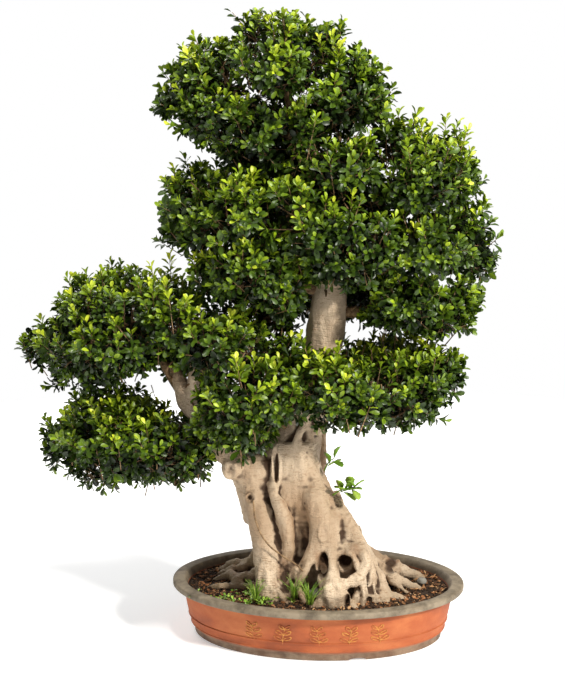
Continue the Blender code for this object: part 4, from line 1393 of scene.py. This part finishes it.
    hollows: tuple = (
        Hollow((-0.08, -0.066, 0.36), 0.007, 0.032, 0.003, 0.007),
        Hollow((-0.172, -0.075, 0.352), 0.01, 0.013, 0.004, 0.003),
        Hollow((-0.129, -0.085, 0.3), 0.007, 0.008, 0.005, 0.005),
        Hollow((0.016, -0.08, 0.238), 0.007, 0.016, 0.0015, 0.004),
        Hollow((0.064, -0.062, 0.252), 0.004, 0.006, 0.002, 0.003),
        Hollow((-0.02, -0.076, 0.292), 0.003, 0.004, 0.004, 0.001),
        Hollow((-0.01, -0.076, 0.284), 0.003, 0.003, 0.003, 0.001),
        Hollow((-0.012, -0.06, 0.4), 0.003, 0.004, 0.003, 0.001),
        Hollow((-0.019, -0.06, 0.388), 0.003, 0.003, 0.003, 0.001),
        Hollow((0.016, -0.096, 0.17), 0.012, 0.026, 0.036, 0.001),
        Hollow((0.06, -0.096, 0.172), 0.018, 0.016, 0.032, 0.003),
        Hollow((0.066, -0.12, 0.108), 0.007, 0.014, 0.024, 0.0),
        Hollow((0.108, -0.1, 0.098), 0.007, 0.013, 0.018, 0.0),
        Hollow((0.15, 0.0, 0.142), 0.016, 0.01, 0.014, 0.003))
    branches: dict = field(default_factory=lambda: {
        "leader": [(0.005, 0.012, 0.93, 0.016), (-0.03, 0.01, 1.01, 0.014), (-0.055, 0.01, 1.07, 0.011),
                   (-0.08, 0.01, 1.13, 0.007)],
        "crown_left": [(-0.025, 0.01, 1.0, 0.01), (-0.11, 0.005, 1.035, 0.009), (-0.19, 0.0, 1.08, 0.006)],
        "crown_right": [(-0.015, 0.01, 0.98, 0.01), (0.02, 0.005, 1.04, 0.008), (0.05, 0.0, 1.095, 0.006)],
        "right_high": [(0.02, 0.015, 0.735, 0.02), (0.08, 0.008, 0.775, 0.017), (0.13, 0.0, 0.825, 0.013),
                       (0.18, -0.005, 0.88, 0.01), (0.215, 0.0, 0.925, 0.007)],
        "right_middle": [(0.12, 0.0, 0.812, 0.011), (0.19, 0.01, 0.8, 0.009), (0.26, 0.0, 0.795, 0.006)],
        "right_low": [(0.015, 0.01, 0.665, 0.014), (0.09, 0.02, 0.665, 0.012), (0.17, 0.01, 0.68, 0.009),
                      (0.235, 0.0, 0.688, 0.006)],
        "skirt": [(0.0, 0.01, 0.56, 0.014), (0.08, -0.01, 0.53, 0.011), (0.17, -0.01, 0.522, 0.007)],
        "inner_left": [(0.015, 0.01, 0.7, 0.013), (-0.06, -0.02, 0.73, 0.01), (-0.13, -0.035, 0.755, 0.006)],
        "middle_left": [(0.03, 0.018, 0.8, 0.013), (-0.06, 0.0, 0.835, 0.011), (-0.15, -0.02, 0.855, 0.008),
                        (-0.225, -0.005, 0.865, 0.006)],
        "front": [(0.035, 0.015, 0.775, 0.012), (0.04, -0.04, 0.8, 0.01), (0.05, -0.095, 0.825, 0.006)],
        "upper": [(0.022, 0.018, 0.875, 0.01), (0.07, -0.02, 0.925, 0.006)],
        "back_high": [(0.032, 0.02, 0.82, 0.012), (0.0, 0.09, 0.85, 0.009), (-0.03, 0.15, 0.88, 0.006)],
        "back_low": [(0.012, 0.01, 0.645, 0.013), (0.0, 0.08, 0.68, 0.01), (-0.03, 0.145, 0.71, 0.006)],
        "far_left": [(-0.255, -0.02, 0.47, 0.014), (-0.29, -0.01, 0.52, 0.012), (-0.33, 0.0, 0.575, 0.01),
                     (-0.4, 0.0, 0.625, 0.008), (-0.49, 0.0, 0.6, 0.005)],
        "shelf": [(-0.257, -0.02, 0.47, 0.014), (-0.248, -0.02, 0.52, 0.012), (-0.24, -0.02, 0.57, 0.01),
                  (-0.195, -0.03, 0.625, 0.006)],
        "low_left": [(-0.23, -0.02, 0.44, 0.011), (-0.29, 0.0, 0.42, 0.01), (-0.36, 0.0, 0.4, 0.008),
                     (-0.43, 0.0, 0.395, 0.005)],
        "low_centre": [(-0.04, 0.005, 0.42, 0.012), (-0.1, -0.03, 0.455, 0.009),
                       (-0.165, -0.045, 0.49, 0.006)]})

    def carve(self, points: np.ndarray, normals: np.ndarray) -> np.ndarray:
        """Presses the hollows into the trunk and raises a callus rim round each.

        Args:
            points: The trunk's points, changed in place.
            normals: Their outward directions.

        Returns:
            How hollow the wood is at each point, from 0 to 1.
        """
        depth = np.zeros(len(points))
        for hollow in self.hollows:
            near = points - np.array(hollow.place)
            facing = normals[:, 1] < 0.55
            reach = np.sqrt((near[:, 0] / hollow.wide) ** 2 + (near[:, 2] / hollow.high) ** 2
                            + (near[:, 1] / 0.055) ** 2)
            pit = np.clip(1 - reach ** 2, 0, 1) ** 0.6 * facing
            rim = np.exp(-((reach - 1.25) / 0.28) ** 2) * facing
            push = -hollow.depth * pit + hollow.rim * rim
            inward = np.array((-0.12 * np.sign(hollow.place[0]), -1.0, 0.15))
            points += inward / np.linalg.norm(inward) * (push * (pit > 0))[:, None]
            points += normals * (hollow.rim * rim * (pit <= 0))[:, None]
            # This depth is also kept to darken the hollows with painted shade.
            depth = np.maximum(depth, pit * min(1.0, hollow.depth / 0.012))
        return depth

    def sunk(self, knots: list[Knot]) -> list[Knot]:
        """Draws a strand's top up into the trunk, so that it grows out of it.

        Args:
            knots: The strand's points and radii.

        Returns:
            The strand with one more knot at its top.
        """
        x, y, z, radius = knots[0]
        inward = 0.03 if y < 0 else -0.03
        return [(x * 0.9 - 0.006, y + inward, z + 0.036, radius * 0.35)] + knots

    def skin(self, piece: bpy.types.Object, passes: int) -> bpy.types.Object:
        """Grows overlapping strands into one skin, and softens it.

        Args:
            piece: The joined strands.
            passes: How many times the skin is smoothed.

        Returns:
            The same object.
        """
        skin = piece.modifiers.new("skin", "REMESH")
        skin.mode, skin.voxel_size = "VOXEL", self.voxel
        soften = piece.modifiers.new("soften", "SMOOTH")
        soften.iterations, soften.factor = passes, 0.5
        return apply_modifiers(piece)

    def trunk(self) -> bpy.types.Object:
        """Grows all the strands into one skin, then wrinkles it and presses its hollows in.

        Returns:
            The trunk.
        """
        rooted = [self.sunk(knots) for knots in self.fused]
        parts = [tube(knots, 3, 6) for knots in self.strands + self.bodies + rooted + self.surface]
        trunk = self.skin(join(parts, "trunk"), 9)
        fine = [tube(self.sunk(knots), 3, 6) for knots in self.ridges]
        trunk = self.skin(join([trunk] + fine, "trunk"), 5)
        mesh = trunk.data
        points, normals = (per_point(mesh, what).astype(float) for what in ("co", "normal"))
        wrinkle = np.empty(len(points))
        for index, (x, y, z) in enumerate(points):
            along = noise.noise((x * 30, y * 30, z * 9)) * 0.006
            ripple = noise.noise((x * 80, y * 80, z * 26 + 9)) * 0.002
            ring = noise.noise((x * 14, y * 14, z * 120)) * 0.0013
            gnarl = 1.0 + 1.3 * min(1.0, max(0.0, (0.24 - z) / 0.1))
            grit = noise.noise((x * 190, y * 190, z * 140)) * 0.0006
            wrinkle[index] = along + (ripple + grit) * gnarl + ring
        keep = np.clip((points[:, 2] - 0.095) / 0.02, 0.25, 1)
        points += normals * (wrinkle * keep)[:, None]
        depth = self.carve(points, normals)
        mesh.vertices.foreach_set("co", points.astype(np.float32).ravel())
        mesh.update()
        soften = trunk.modifiers.new("soften", "SMOOTH")
        soften.iterations, soften.factor = 1, 0.4
        apply_modifiers(trunk)
        self.shade(trunk, depth)
        smooth(trunk, 80.0)
        return trunk

    def shade(self, trunk: bpy.types.Object, depth: np.ndarray) -> None:
        """Stores on the wood how deep in a crease, and how much on its shaded side, each point lies, for the
        bark's painted shade.

        Args:
            trunk: The trunk.
            depth: How deep in a hollow each point lies.
        """
        mesh = trunk.data
        points, normals = (per_point(mesh, what).astype(float) for what in ("co", "normal"))
        edges = edge_ends(mesh)
        degree = np.bincount(edges.ravel(), minlength=len(points)).astype(float)[:, None]
        blurred = points.copy()
        for _ in range(22):
            total = np.zeros_like(blurred)
            np.add.at(total, edges[:, 0], blurred[edges[:, 1]])
            np.add.at(total, edges[:, 1], blurred[edges[:, 0]])
            blurred = total / np.maximum(degree, 1)
        # Painted shade: how far each point sinks below its blurred neighbours, to darken creases.
        crease = np.einsum("ij,ij->i", blurred - points, normals)
        hollow = np.maximum(np.clip(crease / 0.0022 - 0.1, 0, 1) * 0.85, depth)
        low = np.clip(1 - (points[:, 2] - 0.11) / 0.16, 0, 1)
        # Painted shade: the low left roots' side that faces away from the light at +X.
        side = np.clip(0.45 - normals[:, 0], 0, 1) * np.clip((-points[:, 0] - 0.075) / 0.05, 0, 1)
        for name, values in (("hollow", hollow), ("shaded", side * low)):
            carry(mesh, name, values)

    def limbs(self) -> bpy.types.Object:
        """The branches, and the smaller ones that fork from them into the leaves.

        Returns:
            The branches as one piece.
        """
        random_twig = random.Random(self.seed)
        tubes = []
        for knots in self.branches.values():
            tubes.append(tube([(x, y, z, max(r * 0.92, 0.004)) for x, y, z, r in knots], 3, 8))
            for start, end in zip(knots, knots[1:]):
                for _ in range(4):
                    share = random_twig.random()
                    root = Vector(start[:3]).lerp(Vector(end[:3]), share)
                    aim = Vector((random_twig.gauss(0, 1), random_twig.gauss(0, 1),
                                  random_twig.gauss(0.5, 0.8)))
                    aim.normalize()
                    reach = random_twig.uniform(0.035, 0.062)
                    bend = Vector((random_twig.gauss(0, 1), random_twig.gauss(0, 1), 1.0)) * 0.008
                    middle, tip = root + aim * reach * 0.5 + bend, root + aim * reach
                    tubes.append(tube([(*root, 0.0042), (*middle, 0.003), (*tip, 0.0016)], 1, 4))
        limbs = join(tubes, "branches")
        smooth(limbs, 70.0)
        return limbs

    def build(self) -> None:
        """Builds and dresses the wood."""
        settle(self.trunk(), Slot.BARK, self.finish.material(), "trunk_and_branches")
        twig = self.twig.material()
        settle(self.limbs(), Slot.BARK, twig, "trunk_and_branches")
        root = tube(self.aerial, 2, 8)
        root.name = root.data.name = "aerial_root"
        smooth(root, 70.0)
        settle(root, Slot.BARK, twig)


# ---------------------------------------------------------------- the leaves


@dataclass
class LeafShape:
    """One small fig leaf, broadest past its middle, folded along its midrib and curled down at its tip."""

    half_width: float = 0.245
    fold: float = 0.1
    curl: float = 0.14
    thickness: float = 0.018

    def build(self) -> tuple[np.ndarray, np.ndarray, np.ndarray]:
        """Shapes a ball of four segments into a leaf that lies along +Y with its upper side to +Z.

        Returns:
            The leaf's points for a length of 1, its triangles, and which points lie on its margin.
        """
        deselect()
        bpy.ops.mesh.primitive_uv_sphere_add(segments=4, ring_count=4, radius=1.0)
        ball = bpy.context.object
        take(ball)
        bpy.ops.object.mode_set(mode="EDIT")
        bpy.ops.mesh.select_all(action="SELECT")
        bpy.ops.mesh.quads_convert_to_tris()
        bpy.ops.object.mode_set(mode="OBJECT")
        points = np.array([v.co[:] for v in ball.data.vertices])
        faces = np.array([list(p.vertices) for p in ball.data.polygons])
        bpy.data.objects.remove(ball, do_unlink=True)
        along = (points[:, 2] + 1) / 2
        level = np.round(along * 4).astype(int)
        length = np.array((0.0, 0.24, 0.62, 0.9, 1.0))[level]
        width = np.array((0.0, 0.52, 1.0, 0.66, 0.0))[level] * self.half_width
        round_leaf = np.hypot(points[:, 0], points[:, 1])
        across = np.where(round_leaf > 0.01, points[:, 0] / np.maximum(round_leaf, 0.01), 0.0)
        above = np.where(round_leaf > 0.01, points[:, 1] / np.maximum(round_leaf, 0.01), 0.0)
        shaped = np.stack([across * width, length,
                           above * self.thickness * (width > 0)
                           + np.abs(across) * self.fold * width / self.half_width
                           + self.curl * (0.35 - (length - 0.5) ** 2 * 1.8)], axis=1)
        shaped[:, 2] -= shaped[level == 0, 2].mean()
        margin = np.abs(above) < 0.5
        faces = faces[:, ::-1] if self.inside_out(shaped, faces) else faces
        return shaped, faces, margin

    def inside_out(self, points: np.ndarray, faces: np.ndarray) -> bool:
        """Tells whether a closed shape's faces point inwards, by its signed volume."""
        a, b, c = (points[faces[:, corner]] for corner in range(3))
        return float(np.einsum("ij,ij->", a, np.cross(b, c))) < 0


@dataclass
class Foliage:
    """Masses of small glossy leaves: sprigs set close over each mass, with leaves behind made darker by
    painted shade.
    """

    leaf_length: float = 0.0205
    outer_density: float = 2200.0
    leader_density: float = 110.0
    sprig_stem: float = 0.022
    leader_stem: float = 0.05
    inner_density: float = 560.0
    outer_depth: float = 0.027
    inner_depth: float = 0.052
    stray_share: float = 0.12
    proud: float = 0.009
    limb_window: tuple = (-0.262, 0.492, 0.03, 0.056)
    sprig_kinds: int = 7
    most_triangles: int = 190000
    seed: int = 23
    finish: LeafFinish = field(default_factory=LeafFinish)

    def __post_init__(self) -> None:
        """Prepares the leaf and the sprigs that are copied over every mass."""
        self.generator = np.random.default_rng(self.seed)
        self.leaf, self.faces, self.margin = LeafShape().build()
        self.masses = sorted(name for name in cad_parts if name.startswith("leaves_"))
        self.trees = {name: node_tree_bvh(name) for name in self.masses}
        self.sprigs = [self.sprig(int(self.generator.integers(7, 11)), self.sprig_stem)
                       for _ in range(self.sprig_kinds)]
        self.leaders = [self.sprig(14, self.leader_stem) for _ in range(self.sprig_kinds)]
        self.stems: list[np.ndarray] = []

    def sprig(self, count: int, stem: float) -> tuple[np.ndarray, np.ndarray]:
        """One leafy shoot along +Z: leaves wind up it, open at its foot and upright at its tip.

        Args:
            count: How many leaves it has.
            stem: The length of stem that they stand on.

        Returns:
            A stack of leaf-to-sprig matrices, and how near to the tip each leaf is.
        """
        matrices, tips = [], []
        for index in range(count):
            share = index / (count - 1)
            turn = math.radians(137.5) * index + self.generator.normal(0, 0.25)
            open_angle = math.radians(84 - 52 * share + self.generator.normal(0, 8))
            size = self.leaf_length * (1.05 - 0.35 * share ** 2) * self.generator.uniform(0.85, 1.12)
            place = Matrix.Translation((0, 0, 0.004 + stem * share))
            aim = Matrix.Rotation(turn, 4, "Z") @ Matrix.Rotation(math.pi / 2 - open_angle, 4, "X")
            roll = Matrix.Rotation(self.generator.normal(0, 0.3), 4, "Y")
            offset = Matrix.Translation((0, 0.002 / self.leaf_length, 0))
            matrices.append(np.array(place @ aim @ roll @ Matrix.Scale(size, 4) @ offset))
            tips.append(share)
        return np.array(matrices), np.array(tips)

    def surface(self, name: str, density: float) -> tuple[np.ndarray, np.ndarray]:
        """Random points and outward directions over a packed mass of leaves.

        Args:
            name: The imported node.
            density: Points a square metre.

        Returns:
            The points and their directions, without those that face a neighbouring mass.
        """
        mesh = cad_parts[name].data
        mesh.calc_loop_triangles()
        corners = np.array([[mesh.vertices[i].co[:] for i in t.vertices] for t in mesh.loop_triangles])
        cross = np.cross(corners[:, 1] - corners[:, 0], corners[:, 2] - corners[:, 0])
        area = np.linalg.norm(cross, axis=1) / 2
        number = int(area.sum() * density)
        which = self.generator.choice(len(area), size=number, p=area / area.sum())
        u, v = self.generator.random(number), self.generator.random(number)
        flip = u + v > 1
        u[flip], v[flip] = 1 - u[flip], 1 - v[flip]
        points = (corners[which, 0] + (corners[which, 1] - corners[which, 0]) * u[:, None]
                  + (corners[which, 2] - corners[which, 0]) * v[:, None])
        normals = cross[which] / np.maximum(np.linalg.norm(cross[which], axis=1), 1e-12)[:, None]
        keep = []
        window_x, window_z, half_x, half_z = self.limb_window
        others = [tree for other, tree in self.trees.items() if other != name]
        for point, normal in zip(points, normals):
            start, direction = Vector(point), Vector(normal)
            hidden = any(tree.ray_cast(start + direction * 0.0004, direction, 0.02)[0] for tree in others)
            aside = math.hypot((point[0] - window_x) / half_x, (point[2] - window_z) / half_z)
            bare = point[1] < -0.02 and aside < 1
            keep.append(not hidden and not bare)
        keep = np.array(keep, bool)
        return points[keep], normals[keep]

    def shoots(self, name: str, density: float, depth: float, upward: float) -> tuple[np.ndarray, np.ndarray]:
        """Where each sprig of a layer stands.

        Args:
            name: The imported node.
            density: Sprigs a square metre.
            depth: How far their feet lie under the mass's surface.
            upward: How strongly they turn up to the light.

        Returns:
            A stack of sprig-to-model matrices, and how well lit each sprig is.
        """
        points, normals = self.surface(name, density)
        matrices, lit = [], []
        for point, normal in zip(points, normals):
            far_out = self.generator.random() < self.stray_share and depth < 0.04
            clump = (noise.noise(Vector(point) * 12.0) * 0.02 + noise.noise(Vector(point) * 26.0) * 0.026
                     + noise.noise(Vector(point) * 60.0) * 0.01)
            aim = Vector(normal) + Vector((0, 0, upward * (2.0 if far_out else 1.0)))
            aim += Vector(self.generator.normal(0, 0.3, 3))
            aim.normalize()
            stray = self.generator.uniform(0.006, 0.022) if far_out else 0.0
            foot = Vector(point) - Vector(normal) * (depth - min(clump, 0.013) - stray)
            scale = self.generator.uniform(0.88, 1.16) * (1.08 if far_out else 1.0)
            turn = aim.to_track_quat("Z", "Y").to_matrix().to_4x4()
            spin = Matrix.Rotation(self.generator.uniform(0, math.tau), 4, "Z")
            matrices.append(np.array(Matrix.Translation(foot) @ turn @ spin @ Matrix.Scale(scale, 4)))
            # Painted light: sprigs that face up or stand out of the mass get a lighter tint.
            lit.append(0.5 + 0.5 * normal[2] + (clump + stray) * 16.0)
        return np.array(matrices), np.array(lit)

    def inside(self, shapes: np.ndarray) -> np.ndarray:
        """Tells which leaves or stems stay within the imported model's box, or only just outside it."""
        low, high = np.array(CAD_BOX[0]) - self.proud, np.array(CAD_BOX[1]) + self.proud
        return ((shapes > low) & (shapes < high)).all(axis=(1, 2))

    def stem(self, matrices: np.ndarray, length: float) -> np.ndarray:
        """Thin tapering stems that carry a layer's sprigs.

        Args:
            matrices: Sprig-to-model matrices.
            length: How far the stems reach above the sprigs' feet.

        Returns:
            Six points for each stem.
        """
        turn = np.arange(3) * math.tau / 3
        ring = np.stack([np.cos(turn), np.sin(turn)], axis=1)
        foot = np.column_stack([ring * 0.0013, np.full(3, -0.036)])
        tip = np.column_stack([ring * 0.0006, np.full(3, length)])
        local = np.concatenate([foot, tip])
        return np.einsum("nij,vj->nvi", matrices[:, :3, :3], local) + matrices[:, None, :3, 3]

    def twigs(self) -> bpy.types.Object:
        """All the sprigs' stems as one piece.

        Returns:
            The stems as one piece.
        """
        stems = np.concatenate(self.stems)
        stems = stems[self.inside(stems)]
        sides = np.array([(0, 1, 4), (0, 4, 3), (1, 2, 5), (1, 5, 4), (2, 0, 3), (2, 3, 5), (0, 2, 1),
                          (3, 4, 5)])
        faces = (sides[None] + (np.arange(len(stems)) * 6)[:, None, None]).reshape(-1, 3)
        return new_piece("sprig_stems", mesh_from_arrays("sprig_stems", stems.reshape(-1, 3), faces, False))

    def mass(self, name: str) -> bpy.types.Object:
        """Builds one mass of leaves as a piece.

        Args:
            name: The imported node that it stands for.

        Returns:
            The piece, with a tint for every leaf.
        """
        blocks, tints = [], []
        # shade is painted shade: the inner layer is tinted darker, the leaders a little lighter.
        for density, depth, upward, shade, sprigs, stem in (
                (self.outer_density, self.outer_depth, 0.5, 0.0, self.sprigs, self.sprig_stem),
                (self.leader_density, 0.028, 1.3, 0.06, self.leaders, self.leader_stem),
                (self.inner_density, self.inner_depth, 0.25, -0.34, self.sprigs, self.sprig_stem)):
            matrices, lit = self.shoots(name, density, depth, upward)
            self.stems.append(self.stem(matrices, stem))
            kinds = self.generator.integers(0, self.sprig_kinds, len(matrices))
            for kind, (leaves, tips) in enumerate(sprigs):
                chosen = kinds == kind
                if not chosen.any():
                    continue
                placed = np.einsum("sij,ljk->slik", matrices[chosen], leaves).reshape(-1, 4, 4)
                local = self.leaf[None, :, :]
                blocks.append(np.einsum("nij,nvj->nvi", placed[:, :3, :3], np.repeat(local, len(placed), 0))
                              + placed[:, None, :3, 3])
                # Each leaf's tint: painted light from its sprig, lighter young leaves at the tip, and painted
                # shade inside.
                base = (0.1 + 0.34 * np.clip(lit[chosen], 0, 1.2)[:, None] + 0.38 * tips[None, :] ** 1.5
                        + shade)
                sprig_luck = self.generator.normal(0, 0.09, (chosen.sum(), 1))
                tints.append((base + sprig_luck + self.generator.normal(0, 0.06, base.shape)).ravel())
        leaves, tints = np.concatenate(blocks), np.clip(np.concatenate(tints), 0, 1)
        inside = self.inside(leaves)
        leaves, tints = leaves[inside], tints[inside]
        most = self.most_triangles // len(self.faces)
        if len(leaves) > most:
            chosen = np.sort(self.generator.choice(len(leaves), most, replace=False))
            leaves, tints = leaves[chosen], tints[chosen]
        return self.piece(name.replace("leaves_", "foliage_"), leaves, tints)

    def piece(self, name: str, leaves: np.ndarray, tints: np.ndarray) -> bpy.types.Object:
        """Makes one object of many leaves, with sharp margins, tints and a baking map.

        Args:
            name: The piece's name.
            leaves: Points by leaf.
            tints: One value a leaf.

        Returns:
            The piece.
        """
        number, size = leaves.shape[:2]
        faces = (self.faces[None] + (np.arange(number) * size)[:, None, None]).reshape(-1, 3)
        mesh = mesh_from_arrays(name, leaves.reshape(-1, 3), faces)
        carry(mesh, "tint", np.repeat(tints, size))
        edges = edge_ends(mesh)
        margin = np.tile(self.margin, number)
        sharp = mesh.attributes.new("sharp_edge", "BOOLEAN", "EDGE")
        sharp.data.foreach_set("value", margin[edges[:, 0]] & margin[edges[:, 1]])
        side = math.ceil(math.sqrt(number))
        cell = np.arange(number)
        corner = np.stack([(cell % side) / side, (cell // side) / side], 1)[:, None, :]
        flat = self.leaf[:, :2] * np.array((0.8, 0.8)) + np.array((0.5, 0.1))
        uv = (corner + flat[None] / side).reshape(-1, 2)
        layer = mesh.uv_layers.new(name="OFBake")
        loops = np.empty(len(mesh.loops), np.int32)
        mesh.loops.foreach_get("vertex_index", loops)
        layer.data.foreach_set("uv", uv[loops].astype(np.float32).ravel())
        return new_piece(name, mesh)

    def build(self) -> None:
        """Builds and dresses every mass of leaves."""
        material = self.finish.material()
        for name in self.masses:
            settle(self.mass(name), Slot.LEAF, material, name)
        settle(self.twigs(), Slot.BARK, TwigFinish(name="stem_bark").material())


# ---------------------------------------------------------------- small plants and stones


@dataclass
class SmallPlants:
    """Two leafy sprouts on the trunk, and tufts of grass and weeds in the soil."""

    blades: int = 34
    weed_plants: int = 70
    seed: int = 31
    sprouts: dict = field(default_factory=lambda: {
        "sprout_upper": ((0.014, -0.02, 0.345), (0.035, -0.035, 0.375), 4),
        "sprout_lower": ((0.032, -0.04, 0.3), (0.078, -0.05, 0.318), 10)})
    tufts: tuple = ("grass_left", "grass_middle", "grass_right")
    finish: LeafFinish = field(default_factory=lambda: LeafFinish(
        "young_leaf", linear(60, 92, 22), linear(84, 120, 30), linear(110, 146, 40), linear(142, 172, 60),
        linear(180, 200, 96), 0.4))

    def __post_init__(self) -> None:
        """Starts the random draws."""
        self.generator = np.random.default_rng(self.seed)
        self.leaf, self.faces, self.margin = LeafShape(half_width=0.3).build()

    def leaves(self, name: str, matrices: list[Matrix]) -> bpy.types.Object:
        """Copies the leaf to each place, as one piece.

        Args:
            name: The piece's name.
            matrices: The place, turn and size of each leaf.

        Returns:
            The piece.
        """
        points, faces, tints = [], [], []
        for index, matrix in enumerate(matrices):
            grid = np.array(matrix)
            points.append(self.leaf @ grid[:3, :3].T + grid[:3, 3])
            faces.append(self.faces + index * len(self.leaf))
            tints.append(np.full(len(self.leaf), self.generator.uniform(0.35, 0.9)))
        mesh = mesh_from_arrays(name, np.concatenate(points), np.concatenate(faces))
        carry(mesh, "tint", np.concatenate(tints))
        return new_piece(name, mesh)

    def sprout(self, node: str, material: bpy.types.Material) -> None:
        """A thin stem with alternating leaves that shine at their tips.

        Args:
            node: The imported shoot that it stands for.
            material: The finish that it gets.
        """
        foot, tip, count = self.sprouts[node]
        foot, tip = Vector(foot), Vector(tip)
        middle = foot.lerp(tip, 0.5) + Vector((0, 0, 0.006))
        stem = tube([(*foot, 0.0018), (*middle, 0.0014), (*tip, 0.0009)], 1, 5)
        carry(stem.data, "tint", [0.5] * len(stem.data.vertices))
        matrices = []
        along = (tip - foot).normalized()
        for index in range(count):
            share = 0.3 + 0.7 * index / (count - 1)
            turn = math.radians(140) * index
            lift = Vector((math.cos(turn), -0.35, math.sin(turn) * 0.9 + 0.35))
            aim = (along * 0.55 + lift).normalized()
            rotation = aim.to_track_quat("Y", "Z").to_matrix().to_4x4()
            size = self.generator.uniform(0.03, 0.037)
            matrices.append(Matrix.Translation(foot.lerp(tip, share)) @ rotation @ Matrix.Scale(size, 4))
        piece = join([stem, self.leaves(node + "_leaves", matrices)], node + "_shoot")
        settle(piece, Slot.YOUNG_LEAF, material, node)

    def tuft(self, node: str, material: bpy.types.Material) -> None:
        """A tuft of fine blades that bend over, each a closed tapering strip.

        Args:
            node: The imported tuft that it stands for.
            material: The finish that it gets.
        """
        low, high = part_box(node)
        middle = Vector(((low[0] + high[0]) / 2, (low[1] + high[1]) / 2, low[2] + 0.004))
        reach = (high[0] - low[0]) / 2
        height = (high[2] - low[2]) * 1.55
        points, faces, tints = [], [], []
        for _ in range(self.blades):
            turn = self.generator.uniform(0, math.tau)
            out = Vector((math.cos(turn), math.sin(turn) * 0.7, 0))
            across = Vector((-out.y, out.x, 0)).normalized()
            foot = middle + out * self.generator.uniform(0, reach * 0.35)
            tall = height * self.generator.uniform(0.45, 1.0)
            lean = reach * self.generator.uniform(0.5, 1.6)
            width = self.generator.uniform(0.0008, 0.0014)
            rows = 6
            first = len(points)
            for row in range(rows):
                share = row / (rows - 1)
                spine = foot + out * lean * share ** 1.7 + Vector((0, 0, tall * (share - 0.25 * share ** 3)))
                half = width * (1 - share) ** 0.6 + 0.0001
                points += [spine - across * half, spine + out * 0.0004, spine + across * half,
                           spine - out * 0.0004]
            for row in range(rows - 1):
                a = first + row * 4
                for corner in range(4):
                    after = (corner + 1) % 4
                    faces += [(a + corner, a + after, a + 4 + after),
                              (a + corner, a + 4 + after, a + 4 + corner)]
            last = first + (rows - 1) * 4
            faces += [(first, first + 2, first + 1), (first, first + 3, first + 2),
                      (last, last + 1, last + 2), (last, last + 2, last + 3)]
            tints += [self.generator.uniform(0.2, 0.95)] * (rows * 4)
        mesh = mesh_from_arrays(node + "_blades", np.array([p[:] for p in points]), np.array(faces))
        carry(mesh, "tint", tints)
        piece = new_piece(node + "_blades", mesh)
        weld(piece, 0.00001)
        settle(piece, Slot.YOUNG_LEAF, material, node)

    def weeds(self, material: bpy.types.Material) -> None:
        """Low weeds with small leaves, to the left of the roots.

        Args:
            material: The finish that it gets.
        """
        matrices = []
        for _ in range(self.weed_plants):
            x = self.generator.normal(-0.135, 0.042)
            y = self.generator.normal(-0.11, 0.022)
            for _ in range(int(self.generator.integers(3, 7))):
                turn = self.generator.uniform(0, math.tau)
                aim = Vector((math.cos(turn), math.sin(turn), self.generator.uniform(0.15, 0.9))).normalized()
                size = self.generator.uniform(0.005, 0.011)
                place = Vector((x, y, 0.1015 + self.generator.uniform(0, 0.004)))
                matrices.append(Matrix.Translation(place) @ aim.to_track_quat("Y", "Z").to_matrix().to_4x4()
                                @ Matrix.Scale(size, 4))
        settle(self.leaves("weeds", matrices), Slot.YOUNG_LEAF, material)

    def build(self) -> None:
        """Builds and dresses the small plants."""
        material = self.finish.material()
        for node in self.sprouts:
            self.sprout(node, material)
        for node in self.tufts:
            self.tuft(node, material)
        self.weeds(material)


@dataclass
class Stones:
    """Two weathered stones, one in the front hollow and one by the right root."""

    nodes: tuple = ("stone_in_hollow", "stone_by_root")
    finish: GrainFinish = field(default_factory=lambda: GrainFinish(
        "stone", (linear(70, 68, 64), linear(112, 108, 100), linear(150, 146, 136)), 0.8, 120.0, 0.0012))

    def build(self) -> None:
        """Builds and dresses the stones."""
        material = self.finish.material()
        for number, node in enumerate(self.nodes):
            low, high = (Vector(corner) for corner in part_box(node))
            deselect()
            bpy.ops.mesh.primitive_ico_sphere_add(subdivisions=4, radius=1.0)
            stone = bpy.context.object
            stone.name = stone.data.name = node + "_rough"
            for vertex in stone.data.vertices:
                push = 1 + 0.13 * noise.noise(vertex.co * 1.6 + Vector((number * 5.0, 0, 0)))
                push += 0.03 * noise.noise(vertex.co * 6.0)
                half = (high - low) / 2
                vertex.co = (low + high) / 2 + Vector(c * h * 0.98 * push for c, h in zip(vertex.co, half))
            values = [0.45 + 0.4 * noise.noise(v.co * 90.0) for v in stone.data.vertices]
            carry(stone.data, "tint", values)
            smooth(stone, 60.0)
            settle(stone, Slot.STONE, material, node)


def main() -> None:
    """Builds the whole scene, piece by piece."""
    logging.basicConfig(level=logging.INFO, format="%(name)s: %(message)s")
    for part in (Studio(), Pot(), Ground(), Wood(), Foliage(), SmallPlants(), Stones()):
        log.info("building %s", type(part).__name__)
        part.build()


if __name__ == "__main__":
    main()
